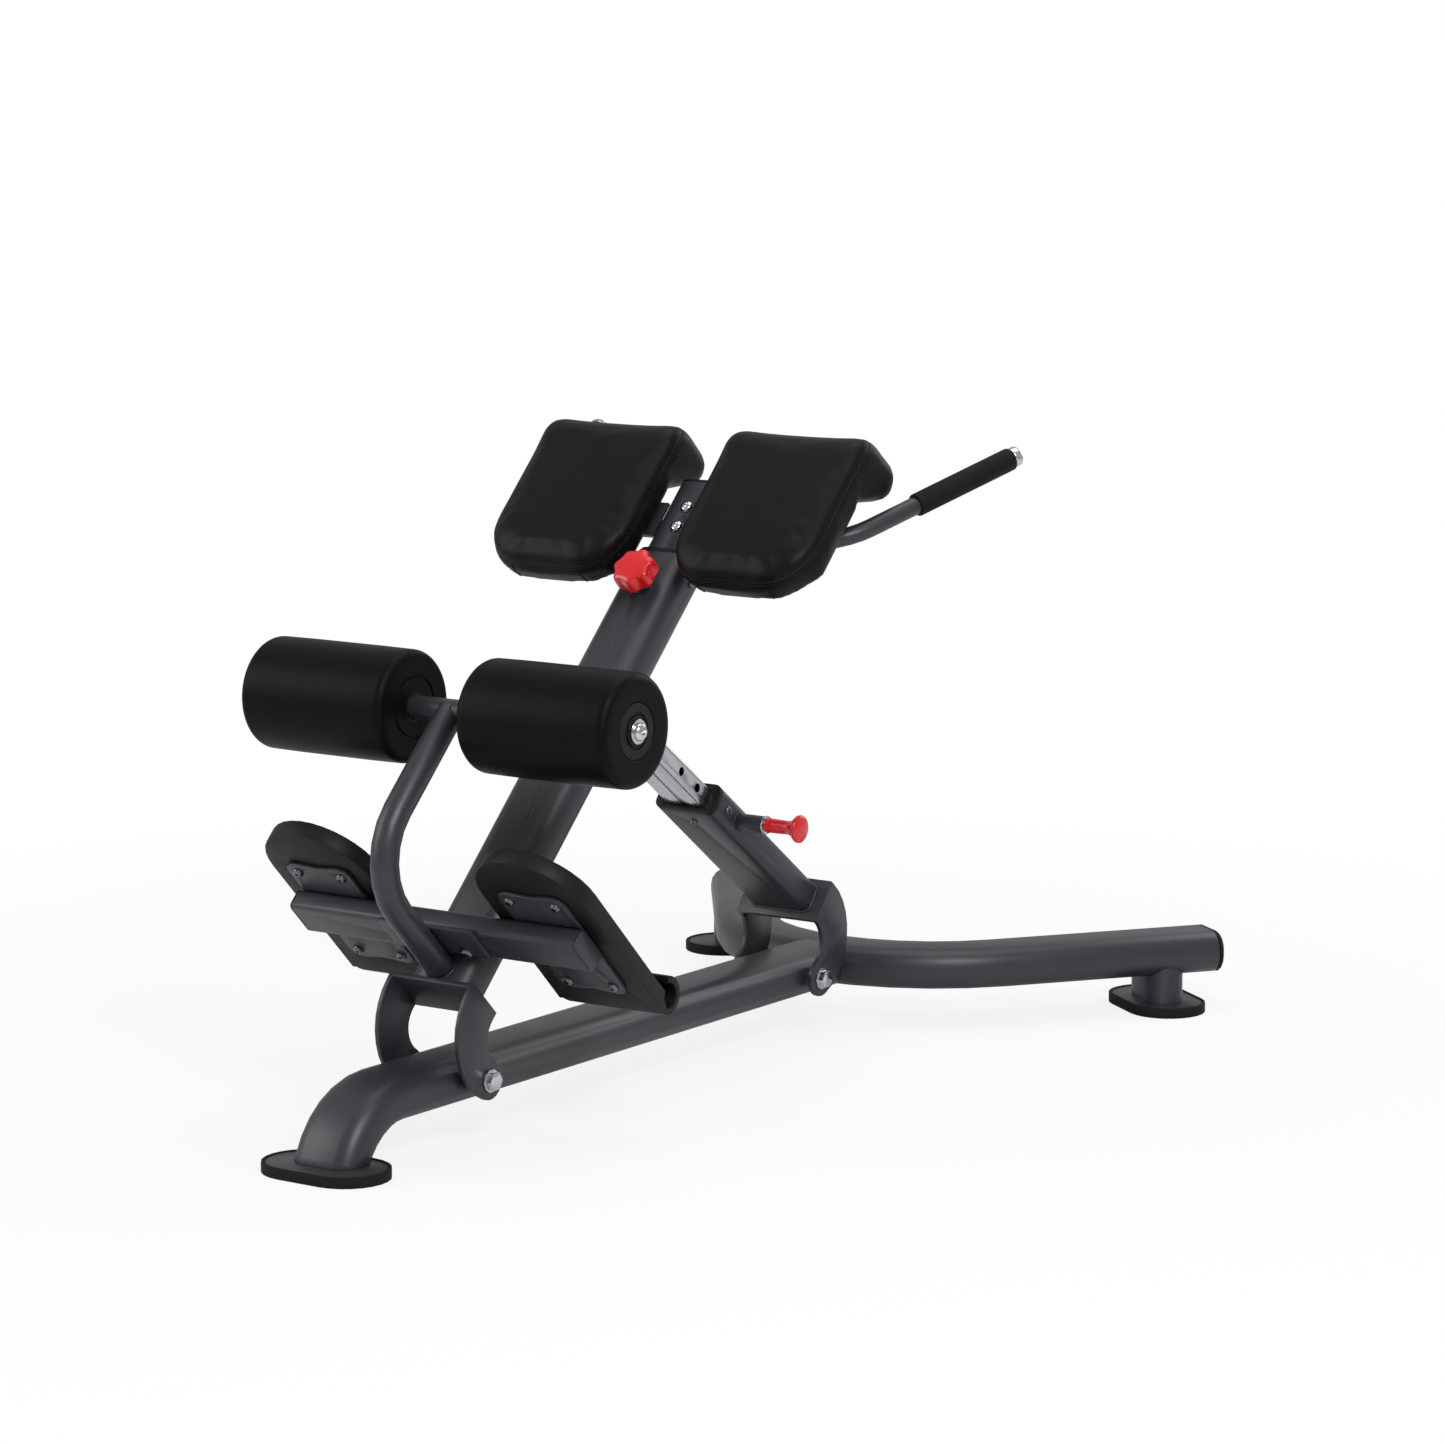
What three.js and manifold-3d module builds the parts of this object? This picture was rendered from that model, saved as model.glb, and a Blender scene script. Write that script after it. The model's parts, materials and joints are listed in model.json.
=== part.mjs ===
// Roman chair: a 45 degree back extension bench with ankle rollers, footplates and hip pads.
// Millimetres. +X is the right-hand side, the front foot is towards -Y and +Z is up.
import * as THREE from "three";
import * as BufferGeometryUtils from "three/addons/utils/BufferGeometryUtils.js";
import Module from "manifold-3d";

const wasm = await Module();
wasm.setup();

// Fits
const touchGap = 0.3;
const cutOverrun = 4;
const sheetThickness = 5;

// Flat-oval frame tube of the base, the crossbar and the main beam
const tubeWidth = 100;
const tubeDepth = 60;
const tubeCorner = 26;
const tubeWall = 3;

// Base
const baseHeight = 82.5;
const frontPivotY = -79;
const rearPivotY = 700;
const baseStraightEndY = -217;
const baseBendRadius = 112.7;
const baseBendAngle = 68;
const crossbarNoseY = 824;
const crossbarRadius = 270;
const crossbarHalfAngle = 54;
const crossbarArmLength = 332;
const crossbarCapThickness = 8;
const crossbarCapRounding = 3;
const capPlugLength = 22;

// Feet
const footLength = 182;
const footWidth = 114;
const footTrayHeight = 15;
const footTrayRim = 5;
const footTrayFloor = 5;
const footPlateThickness = 8.5;
const frontFootY = -332;
const rearFootInset = 77.5;
const rearLegWidth = 94;
const rearLegDepth = 58;

// Pivot brackets and their hardware
const bracketArmGap = 124;
const bracketPlate = 7;
const bracketEyeRadius = 26;
const frontWebNear = 65.5;
const frontWebBottom = 51.3;
const frontWebTop = 118.5;
const frontArcAlong = 62;
const rearWebNear = 55.5;
const rearWebBottom = 60.3;
const rearWebTop = 125.3;
const rearArcAlong = 55.4;
const bracketWindowAlong = 60;
const pivotBoltRadius = 8;
const pivotSleeveRadius = 15;
const pivotWasherRadius = 16;
const washerThickness = 2.5;
const pivotHeadRadius = 13;
const pivotHeadHeight = 8;

// Main beam, measured along it from the front pivot and square to it
const beamIncline = 45;
const beamEnd = 793.3;
const beamCentre = 81.8;
const linerLength = 93;
const linerCollar = 6.5;
const linerFit = 0.5;

// Roller post, axle and rollers
const rollerPostAlong = 92;
const rollerPostRadius = 19;
const rollerPostWall = 2.5;
const rollerPostBend = 95;
const axleAlong = 347.9;
const axleHeight = 329.5;
const axleRadius = 16;
const rollerRadius = 75;
const rollerInner = 60;
const rollerOuter = 297;
const rollerRounding = 12;
const hubWall = 3.2;
const hubDiscRadius = 37;
const hubDiscThickness = 8;
const axleBoltRadius = 8;
const axleBoltHeadRadius = 12;
const axleBoltHeadHeight = 7;
const axleBoltLength = 30;

// Cross tube and footplates
const crossTubeAlong = 115.8;
const crossTubeDepth = 29.7;
const crossTubeHeight = 60.4;
const crossTubeHalf = 231;
const crossTubeCorner = 7;
const crossTubeWall = 2.5;
const crossTubeCapThickness = 3;
const postPlateHalf = 76;
const postPlateThickness = 6;
const postPlateLow = 124;
const postPlateHigh = 179;
const postPlateBoltX = 43;
const postPlateBoltHeight = 131;
const boltRadius = 5;
const postPlateBoltLength = 16;
const footBracketInset = 3;
const footBracketSpan = 107;
const footBracketOuterX = crossTubeHalf - footBracketInset;
const footBracketInnerX = footBracketOuterX - footBracketSpan;
const footBracketLow = 19;
const footBracketHigh = 229;
const footBracketLobe = 17;
const footBracketWaist = 9;
const footPlateCentreX = (footBracketInnerX + footBracketOuterX) / 2;
const footPlateHalf = 84;
const footPlateDeep = 23.4;
const heelCentre = 210;
const toeCurlRadius = 26;
const toeCurlWall = 9;
const toeCurlCentre = -22;
const toeCurlRise = 27.5;
const toeCurlOpening = 50;
const toeCurlLap = 15;
const toeCurlSideInset = 5;
const footBoltLength = 12;
const heelLipWidth = 4;
const heelLipHeight = 3;

// Support strut, measured from the rear pivot along it and below its axis line
const strutIncline = 36.7;
const strutOffset = 94.3;
const strutTubeWidth = 100;
const strutTubeDepth = 45;
const strutTubeCorner = 12;
const strutTubeEnd = 353.4;
const strutLinerLength = 74;
const strutLinerCollar = 7.5;
const innerStrutSideRoom = 17.5;
const innerStrutFaceRoom = 7.5;
const innerStrutWidth = strutTubeWidth - 2 * innerStrutSideRoom;
const innerStrutDepth = strutTubeDepth - 2 * innerStrutFaceRoom;
const innerStrutCorner = 5;
const innerStrutWall = 3;
const innerStrutLow = 167.4;
const strutPinAlong = 553.7;
const innerStrutPast = 15;
const strutGrooveWidth = 5;
const strutGrooveDepth = 1.5;
const strutGrooveStart = 190;
const strutGrooveMargin = 45;
const strutHoleSpacing = 47.5;
const strutHoleRadius = 6.3;
const strutHoleCountAbove = 3;
const strutHoleCountBelow = 2;
const strutGlideThickness = 5.7;
const strutGlidePlug = 20;
const strutPinRadius = 6;
const strutPinHeadRadius = 10;
const strutPinHeadHeight = 7;
const strutWasherRadius = 20;
const lugEarGap = 67;
const lugEarThickness = 6;
const lugAlong = 564.6;
const lugHeight = 10.8;
const lugRadius = 28;
const lugSlotRadius = 8.8;
const lugSlotTravel = 9.6;
const strutScrewRadius = 4;
const strutScrewMargin = 26;

// Pull pin of the strut
const pullPinAlong = 295.4;
const pullPinRadius = 5;
const pullPinCollar = 8;
const pullPinCollarLength = 5;
const pinBossRadius = 12;
const pinBossLength = 43.7;
const pinBossWall = 3.2;
const pinBossEnd = 4;
const pinRingLength = 3.2;
const pinRingRadius = 13;
const pullStemRadius = 10.5;
const pullStemLength = 31;
const pullHeadRadius = 19.5;
const pullKnobLength = 60;
const pullNeckRadius = 9.5;
const pullSpringLength = 14;
const pullPinTravel = 14;

// Star knob of the pad post
const starKnobInset = 56.8;
const starKnobAlong = beamEnd - starKnobInset;
const starPinRadius = 4;
const starPinCollar = 6.5;
const starPinCollarLength = 4;
const knobBossRadius = 15;
const knobBossHeight = 14.9;
const knobNeckRadius = 10;
const knobNeckHeight = 15;
const knobNeckBore = 7;
const knobRadius = 31.5;
const knobLobeDepth = 5;
const knobLobeCount = 7;
const knobHeight = 28;
const knobRounding = 3;
const starSpringLength = 8;

// Pad carriage, placed by the handlebar: inner post, plates, boards, pads and handlebar
const barPastMouth = 59.7;
const handlebarAlong = beamEnd + barPastMouth;
const postPastBar = 69;
const postBoltBelowBar = 12;
const postBoltPastBar = 22.8;
const plateBelowBar = 23;
const platePastBar = 34;
const wingBelowBar = 73;
const padBelowBar = 123;
const padPastBar = 145;
const padLegThickness = 52;
const padLegGap = 10;
const boardBelowBar = 85;
const boardPastBar = 35;
const padBoltBelowBar = 53;
const padBoltPastBar = 24;
const innerPostSideRoom = 11;
const innerPostFaceRoom = 5.5;
const innerPostWidth = tubeWidth - 2 * innerPostSideRoom;
const innerPostDepth = tubeDepth - 2 * innerPostFaceRoom;
const innerPostCorner = 18;
const innerPostWall = 3;
const postInsertion = 293.3;
const innerPostLow = beamEnd - postInsertion;
const innerPostHigh = handlebarAlong + postPastBar;
const postHoleSpacing = 25;
const postHoleCountBelow = 7;
const postHoleRadius = 5.5;
const postGlideLength = 8;
const postGlidePlug = 25;
const postCapThickness = 4;
const postBoltLow = handlebarAlong - postBoltBelowBar;
const postBoltHigh = handlebarAlong + postBoltPastBar;
const padPlateThickness = 4.9;
const padPlateOuterX = 205;
const padPlateLow = handlebarAlong - plateBelowBar;
const padPlateHigh = handlebarAlong + platePastBar;
const padPlateWingX = 56;
const padPlateWingLow = handlebarAlong - wingBelowBar;
const padBack = 99.8;
const padFront = 157;
const padBottom = handlebarAlong - padBelowBar;
const padTop = handlebarAlong + padPastBar;
const padInnerX = 39;
const padOuterX = 271;
const padEdge = 20;
const padBackEdgeShare = 0.3;
const padTopCorner = 40;
const padPlanCorner = 72;
const padPlanFlat = 40;
const padPlanReach = 170;
const padCrown = 4;
const padSideDraw = 2;
const padLegLow = 47;
const padLegEnd = padTop - padLegThickness;
const padLegBase = padPlateHigh + padLegGap;
const padLegCorner = 12;
const boardThickness = 10;
const boardInnerX = 64;
const boardOuterX = 246;
const boardLow = handlebarAlong - boardBelowBar;
const boardHigh = handlebarAlong + boardPastBar;
const boardCorner = 52;
const padBoltInnerX = 95;
const padBoltOuterX = 180;
const padBoltHighAlong = handlebarAlong + padBoltPastBar;
const padBoltLowAlong = handlebarAlong - padBoltBelowBar;
const handlebarRadius = 12.5;
const handlebarWall = 2.5;
const handlebarCornerX = 248;
const handlebarReach = 320;
const handlebarBend = 80;
const handlebarTurn = 70;
const handlebarTilt = -25.1;
const gripLength = 170;
const gripRadius = 16;
const gripCapLength = 12.5;
const gripCapRadius = 14;
const gripCapPlug = 18;

// Step counts
const quarterTurn = 90;
const halfTurn = 180;
const cornerSteps = 2;
const roundSteps = 8;
const smallRoundSteps = 5;
const footSteps = 3;
const plugSteps = 1;
const bendSteps = 6;
const wideBendSteps = 10;
const rollerSideCount = 26;
const padSteps = 6;
const padBevelSteps = 3;

const finish = (color, roughness, metalness) => (
  new THREE.MeshStandardMaterial({ color, roughness, metalness })
);
const frameGrey = () => finish(0x3f4044, 0.5, 0.3);
const blackPlastic = () => finish(0x202022, 0.6, 0);
const chromeSteel = () => finish(0xd8dadd, 0.15, 1);
const zincSteel = () => finish(0xb9bcc0, 0.35, 1);
const redPlastic = () => finish(0xe0262b, 0.35, 0);
const rubber = () => finish(0x1b1b1c, 0.85, 0);
const foam = () => finish(0x262627, 0.75, 0);
const vinyl = () => finish(0x2b2b2d, 0.55, 0);
const plywood = () => finish(0x1f1d1b, 0.8, 0);

const axisX = new THREE.Vector3(1, 0, 0);
const axisY = new THREE.Vector3(0, 1, 0);
const axisZ = new THREE.Vector3(0, 0, 1);
const degrees = THREE.MathUtils.degToRad;

// Outlines
function roundedOutline(Kind, width, height, radius) {
  const outline = new Kind();
  const x = width / 2 - radius;
  const y = height / 2 - radius;
  outline.absarc(x, -y, radius, -Math.PI / 2, 0);
  outline.absarc(x, y, radius, 0, Math.PI / 2);
  outline.absarc(-x, y, radius, Math.PI / 2, Math.PI);
  outline.absarc(-x, -y, radius, Math.PI, Math.PI * 1.5);
  outline.closePath();
  return outline;
}

function roundedBar(width, height, radius) {
  return roundedOutline(THREE.Shape, width, height, radius);
}

function hollowSection(width, height, radius, wall) {
  const section = roundedBar(width, height, radius);
  section.holes.push(roundedOutline(THREE.Path, width - 2 * wall, height - 2 * wall, radius - wall));
  return section;
}

function circle(radius, x = 0, y = 0) {
  const shape = new THREE.Shape();
  shape.absarc(x, y, radius, 0, Math.PI * 2);
  return shape;
}

function ring(outer, inner) {
  const shape = circle(outer);
  shape.holes.push(new THREE.Path().absarc(0, 0, inner, 0, Math.PI * 2));
  return shape;
}

// The corner radius of a faceted hole whose flats clear a faceted shaft by the touch gap
function holeFor(radius, steps = smallRoundSteps) {
  return (radius + touchGap) / Math.cos(Math.PI / (2 * steps));
}

function hexagon(radius) {
  const cornerCount = 6;
  const turns = [...Array(cornerCount).keys()];
  return new THREE.Shape(turns.map((i) => {
    const angle = (i / cornerCount) * Math.PI * 2;
    return new THREE.Vector2(radius * Math.cos(angle), radius * Math.sin(angle));
  }));
}

// Placing: a shape's x and y run along two named directions and its thickness along their cross product
function placed(geometry, xDirection, yDirection, origin = new THREE.Vector3()) {
  const zDirection = new THREE.Vector3().crossVectors(xDirection, yDirection);
  const matrix = new THREE.Matrix4().makeBasis(xDirection, yDirection, zDirection).setPosition(origin);
  return geometry.applyMatrix4(matrix);
}

function extruded(shape, length, curveSegments) {
  return new THREE.ExtrudeGeometry(shape, { depth: length, bevelEnabled: false, curveSegments });
}

// A shape in (Y, Z) carried along X, in (Z, X) carried along Y, and in (X, Y) carried along Z
function alongX(shape, from, to, steps = smallRoundSteps) {
  return placed(extruded(shape, to - from, steps), axisY, axisZ, new THREE.Vector3(from, 0, 0));
}

function alongY(shape, from, to, height = 0, steps = cornerSteps) {
  return placed(extruded(shape, to - from, steps), axisZ, axisX, new THREE.Vector3(0, from, height));
}

function alongZ(shape, from, to, steps = smallRoundSteps) {
  return placed(extruded(shape, to - from, steps), axisX, axisY, new THREE.Vector3(0, 0, from));
}

function moved(geometry, x, y, z) {
  return geometry.translate(x, y, z);
}

function slab(x0, x1, y0, y1, z0, z1) {
  const box = new THREE.BoxGeometry(x1 - x0, y1 - y0, z1 - z0);
  return box.translate((x0 + x1) / 2, (y0 + y1) / 2, (z0 + z1) / 2);
}

// Mirror across the X = 0 plane, with the faces turned back outwards
function mirrored(geometry) {
  const copy = welded(geometry);
  copy.scale(-1, 1, 1);
  const index = copy.getIndex();
  for (let i = 0; i < index.count; i += 3) {
    const first = index.getX(i);
    index.setX(i, index.getX(i + 1));
    index.setX(i + 1, first);
  }
  return copy;
}

function welded(geometry) {
  const copy = geometry.clone();
  copy.deleteAttribute("normal");
  copy.deleteAttribute("uv");
  return BufferGeometryUtils.mergeVertices(copy);
}

// Solids for joining and cutting
function solid(geometry) {
  const closed = welded(geometry);
  const vertProperties = Float32Array.from(closed.getAttribute("position").array);
  const triVerts = Uint32Array.from(closed.getIndex().array);
  return new wasm.Manifold(new wasm.Mesh({ numProp: 3, vertProperties, triVerts }));
}

function geometryOf(body) {
  const mesh = body.getMesh();
  const geometry = new THREE.BufferGeometry();
  geometry.setAttribute("position", new THREE.BufferAttribute(Float32Array.from(mesh.vertProperties), 3));
  geometry.setIndex(new THREE.BufferAttribute(Uint32Array.from(mesh.triVerts), 1));
  return geometry;
}

function joined(...geometries) {
  const [first, ...rest] = geometries.map(solid);
  return geometryOf(rest.reduce((body, next) => body.add(next), first));
}

function cut(geometry, ...tools) {
  return geometryOf(tools.map(solid).reduce((body, tool) => body.subtract(tool), solid(geometry)));
}

// Bent tubes: a path of straight runs and arcs in one plane, with a ring only where the tube turns
class BentPath extends THREE.Curve {
  constructor(x, y, heading) {
    super();
    this.x = x;
    this.y = y;
    this.heading = degrees(heading);
    this.stations = [];
    this.mark();
  }

  mark() {
    const tangent = new THREE.Vector3(Math.cos(this.heading), Math.sin(this.heading), 0);
    this.stations.push({ point: new THREE.Vector3(this.x, this.y, 0), tangent });
  }

  run(length) {
    this.x += length * Math.cos(this.heading);
    this.y += length * Math.sin(this.heading);
    this.mark();
    return this;
  }

  bend(radius, turn, steps) {
    const side = Math.sign(turn);
    const centreX = this.x - side * radius * Math.sin(this.heading);
    const centreY = this.y + side * radius * Math.cos(this.heading);
    for (let step = 0; step < steps; step += 1) {
      this.heading += degrees(turn) / steps;
      this.x = centreX + side * radius * Math.sin(this.heading);
      this.y = centreY - side * radius * Math.cos(this.heading);
      this.mark();
    }
    return this;
  }

  getUtoTmapping(u) {
    return u;
  }

  station(t) {
    return this.stations[Math.round(t * (this.stations.length - 1))];
  }

  getPoint(t, target = new THREE.Vector3()) {
    return target.copy(this.station(t).point);
  }

  getTangent(t, target = new THREE.Vector3()) {
    return target.copy(this.station(t).tangent);
  }
}

// A section's x stands square to the path's plane and its y lies in it
function swept(section, path, curveSegments) {
  const steps = path.stations.length - 1;
  return new THREE.ExtrudeGeometry(section, { steps, extrudePath: path, curveSegments });
}

const chair = new THREE.Group();

function piece(group, name, geometry, material) {
  const mesh = new THREE.Mesh(geometry, material);
  mesh.name = name;
  group.add(mesh);
  return mesh;
}

function pair(group, name, rightGeometry, material) {
  piece(group, `${name}_right`, rightGeometry, material());
  piece(group, `${name}_left`, mirrored(rightGeometry), material());
}

// Crossbar path in plan: two straight arms joined by an arc whose nose faces the front
const crossbarCentreY = crossbarNoseY + crossbarRadius;
const armDirection = new THREE.Vector3(
  Math.cos(degrees(crossbarHalfAngle)),
  Math.sin(degrees(crossbarHalfAngle)),
  0,
);
const armStart = new THREE.Vector3(
  crossbarRadius * armDirection.y,
  crossbarCentreY - crossbarRadius * armDirection.x,
  baseHeight,
);
const armEnd = armStart.clone().addScaledVector(armDirection, crossbarArmLength);

function crossbarPath() {
  return new BentPath(-armEnd.x, armEnd.y, -crossbarHalfAngle)
    .run(crossbarArmLength)
    .bend(crossbarRadius, crossbarHalfAngle * 2, wideBendSteps)
    .run(crossbarArmLength);
}

function crossbarSolid(growth) {
  const section = roundedBar(tubeDepth + 2 * growth, tubeWidth + 2 * growth, tubeCorner + growth);
  return moved(swept(section, crossbarPath(), cornerSteps), 0, 0, baseHeight);
}

piece(chair, "rear_crossbar", moved(
  swept(hollowSection(tubeDepth, tubeWidth, tubeCorner, tubeWall), crossbarPath(), cornerSteps),
  0,
  0,
  baseHeight,
), frameGrey());

// Crossbar end caps: a rounded cover with a plug inside the tube
function tubeCap(depth, width, corner, wall, thickness, plugLength, rounding) {
  const cover = new THREE.ExtrudeGeometry(
    roundedBar(depth - 2 * rounding, width - 2 * rounding, corner - rounding),
    {
      depth: thickness - 2 * rounding,
      bevelEnabled: true,
      bevelThickness: rounding,
      bevelSize: rounding,
      bevelSegments: plugSteps,
      curveSegments: cornerSteps,
    },
  ).translate(0, 0, rounding + touchGap);
  const inset = 2 * (wall + touchGap);
  const plug = extruded(
    roundedBar(depth - inset, width - inset, corner - wall - touchGap),
    plugLength + 2 * touchGap + rounding,
    plugSteps,
  ).translate(0, 0, -plugLength);
  return joined(cover, plug);
}

pair(chair, "crossbar_cap", placed(
  tubeCap(
    tubeDepth,
    tubeWidth,
    tubeCorner,
    tubeWall,
    crossbarCapThickness,
    capPlugLength,
    crossbarCapRounding,
  ),
  axisZ,
  new THREE.Vector3().crossVectors(armDirection, axisZ),
  armEnd,
), blackPlastic);

// Feet: a rubber tray on the floor with a steel plate let into it
const footPlateTop = footTrayFloor + touchGap + footPlateThickness;
const rearFoot = armEnd.clone().addScaledVector(armDirection, -rearFootInset);

function rubberFoot() {
  const tray = alongZ(roundedBar(footLength, footWidth, footWidth / 2), 0, footTrayHeight, footSteps);
  const seatWidth = footWidth - 2 * footTrayRim;
  const seat = roundedBar(footLength - 2 * footTrayRim, seatWidth, seatWidth / 2);
  return cut(tray, alongZ(seat, footTrayFloor, footTrayHeight + cutOverrun, footSteps));
}

function footPlate() {
  const inset = 2 * (footTrayRim + touchGap);
  const plate = roundedBar(footLength - inset, footWidth - inset, (footWidth - inset) / 2);
  return alongZ(plate, footTrayFloor + touchGap, footPlateTop, footSteps);
}

function atRearFoot(geometry) {
  const turn = degrees(crossbarHalfAngle) - Math.PI / 2;
  return geometry.rotateZ(turn).translate(rearFoot.x, rearFoot.y, 0);
}

piece(chair, "front_rubber_foot", moved(rubberFoot(), 0, frontFootY, 0), rubber());
piece(chair, "front_foot_plate", moved(footPlate(), 0, frontFootY, 0), frameGrey());
pair(chair, "rear_rubber_foot", atRearFoot(rubberFoot()), rubber);

// Rear legs: an upright stub under each arm, coped to it and welded to its foot plate
const rearLegSection = hollowSection(rearLegWidth, rearLegDepth, tubeCorner, tubeWall);
const rearLegStub = alongZ(rearLegSection, footPlateTop - touchGap, baseHeight, cornerSteps);
pair(chair, "rear_leg", cut(
  atRearFoot(joined(rearLegStub, footPlate())),
  crossbarSolid(touchGap),
), frameGrey);

// Base tube: straight from the crossbar to the front bend and down to the front foot
const basePath = new BentPath(-crossbarNoseY, 0, 0)
  .run(crossbarNoseY - baseStraightEndY)
  .bend(baseBendRadius, -baseBendAngle, bendSteps)
  .run(tubeDepth);
const baseSweep = placed(
  swept(hollowSection(tubeWidth, tubeDepth, tubeCorner, tubeWall), basePath, cornerSteps),
  axisY.clone().negate(),
  axisZ,
  new THREE.Vector3(0, 0, baseHeight),
);
const belowFootPlate = slab(
  -tubeWidth,
  tubeWidth,
  frontFootY - footLength,
  frontFootY + footLength,
  footPlateTop - footLength,
  footPlateTop + touchGap,
);

function pivotHole(radius, y, z, reach) {
  return moved(alongX(circle(radius), -reach, reach), 0, y, z);
}

const armInner = bracketArmGap / 2;
const armOuter = armInner + bracketPlate;
const sleeveReach = armInner - touchGap;
const boltHole = holeFor(pivotBoltRadius);
piece(chair, "base_tube", cut(
  joined(
    cut(baseSweep, belowFootPlate, crossbarSolid(touchGap)),
    pivotHole(pivotSleeveRadius, frontPivotY, baseHeight, sleeveReach),
    pivotHole(pivotSleeveRadius, rearPivotY, baseHeight, sleeveReach),
  ),
  pivotHole(boltHole, frontPivotY, baseHeight, tubeWidth),
  pivotHole(boltHole, rearPivotY, baseHeight, tubeWidth),
), frameGrey());

// Pivot bolts: a shank through arms and sleeve, with a washer and a head or nut at each end
const washerStart = armOuter + touchGap;
const headStart = washerStart + washerThickness;
const headEnd = headStart + pivotHeadHeight;

function pivotBolt() {
  const washer = alongX(circle(pivotWasherRadius), washerStart, headStart);
  const head = alongX(hexagon(pivotHeadRadius), headStart - touchGap, headEnd);
  return joined(
    alongX(circle(pivotBoltRadius), -headEnd, headEnd),
    washer,
    head,
    mirrored(washer),
    mirrored(head),
  );
}

piece(chair, "front_pivot_bolt", moved(pivotBolt(), 0, frontPivotY, baseHeight), chromeSteel());
piece(chair, "rear_pivot_bolt", moved(pivotBolt(), 0, rearPivotY, baseHeight), chromeSteel());

// Pivot bracket: two crescent arms that run from an eye on the pivot to a cross web under a tube.
// The outer arc swallows the eye from outside and the window's arc touches it from inside.
function bracketShape(webNear, webBottom, webTop, arcAlong, side) {
  const webFar = webNear + bracketPlate;
  const outerReach = webTop - bracketEyeRadius;
  const outerHeight = (outerReach ** 2 - arcAlong ** 2) / (2 * outerReach);
  const outerRadius = webTop - outerHeight;
  const windowReach = webBottom + bracketEyeRadius;
  const windowHeight = (windowReach ** 2 - bracketWindowAlong ** 2) / (2 * windowReach);
  const windowRadius = webBottom - windowHeight;
  const eyeStart = Math.atan2(outerHeight, arcAlong) + Math.PI;
  const eyeEnd = Math.atan2(windowHeight, bracketWindowAlong) + Math.PI * 2;
  const outline = new THREE.Shape();
  outline.moveTo(webFar, webBottom);
  outline.lineTo(webFar, webTop);
  outline.absarc(arcAlong, outerHeight, outerRadius, Math.PI / 2, eyeStart);
  outline.absarc(0, 0, bracketEyeRadius, eyeStart, eyeEnd);
  outline.absarc(bracketWindowAlong, windowHeight, windowRadius, eyeEnd - Math.PI, Math.PI / 2, true);
  outline.closePath();
  const points = outline.extractPoints(smallRoundSteps).shape;
  const turned = points.map((point) => new THREE.Vector2(point.x, point.y * side));
  return new THREE.Shape(turned);
}

function pivotBracket(webNear, webBottom, webTop, arcAlong, side) {
  const arm = alongX(bracketShape(webNear, webBottom, webTop, arcAlong, side), armInner, armOuter);
  const [low, high] = side > 0 ? [webBottom, webTop] : [-webTop, -webBottom];
  const web = slab(-armOuter, armOuter, webNear, webNear + bracketPlate, low, high);
  return cut(joined(arm, mirrored(arm), web), pivotHole(boltHole, 0, 0, armOuter + cutOverrun));
}

// Main beam group: Y runs up the beam from the front pivot and Z stands square to it, towards the front
const beam = new THREE.Group();
beam.position.set(0, frontPivotY, baseHeight);
beam.rotation.x = degrees(beamIncline);
chair.add(beam);

const beamStart = frontWebNear + bracketPlate + touchGap;
const beamFront = beamCentre + tubeDepth / 2;
const beamBack = beamCentre - tubeDepth / 2;

function standing(shape, x, y, from, to, steps = smallRoundSteps) {
  return moved(alongZ(shape, from, to, steps), x, y, 0);
}

const frontArms = pivotBracket(frontWebNear, frontWebBottom, frontWebTop, frontArcAlong, 1);
piece(beam, "front_bracket", frontArms, frameGrey());
piece(beam, "main_beam", cut(
  alongY(hollowSection(tubeDepth, tubeWidth, tubeCorner, tubeWall), beamStart, beamEnd, beamCentre),
  standing(circle(starPinCollar), 0, starKnobAlong, beamCentre, beamFront + cutOverrun),
), frameGrey());

// Liner sleeve with a collar on the beam's mouth
const linerOuterWidth = tubeWidth - 2 * (tubeWall + touchGap);
const linerOuterDepth = tubeDepth - 2 * (tubeWall + touchGap);
const linerOuterCorner = tubeCorner - tubeWall - touchGap;
const postSlot = roundedBar(
  innerPostDepth + 2 * linerFit,
  innerPostWidth + 2 * linerFit,
  innerPostCorner + linerFit,
);
const collarStart = beamEnd + touchGap;
const collarEnd = collarStart + linerCollar;
piece(beam, "beam_liner", cut(
  joined(
    alongY(
      roundedBar(linerOuterDepth, linerOuterWidth, linerOuterCorner),
      beamEnd - linerLength,
      collarEnd,
      beamCentre,
    ),
    alongY(roundedBar(tubeDepth, tubeWidth, tubeCorner), collarStart, collarEnd, beamCentre),
  ),
  alongY(postSlot, beamEnd - linerLength - cutOverrun, collarEnd + cutOverrun, beamCentre),
  standing(circle(starPinCollar), 0, starKnobAlong, beamCentre, beamFront + cutOverrun),
), blackPlastic());

// Axle with a threaded hole in each end, and the bolt and washer that hold each roller
const axleReach = rollerOuter - hubDiscThickness - touchGap;
const axleBoltStart = axleReach - axleBoltLength;
function atAxle(geometry) {
  return moved(geometry, 0, axleAlong, axleHeight);
}

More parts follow.
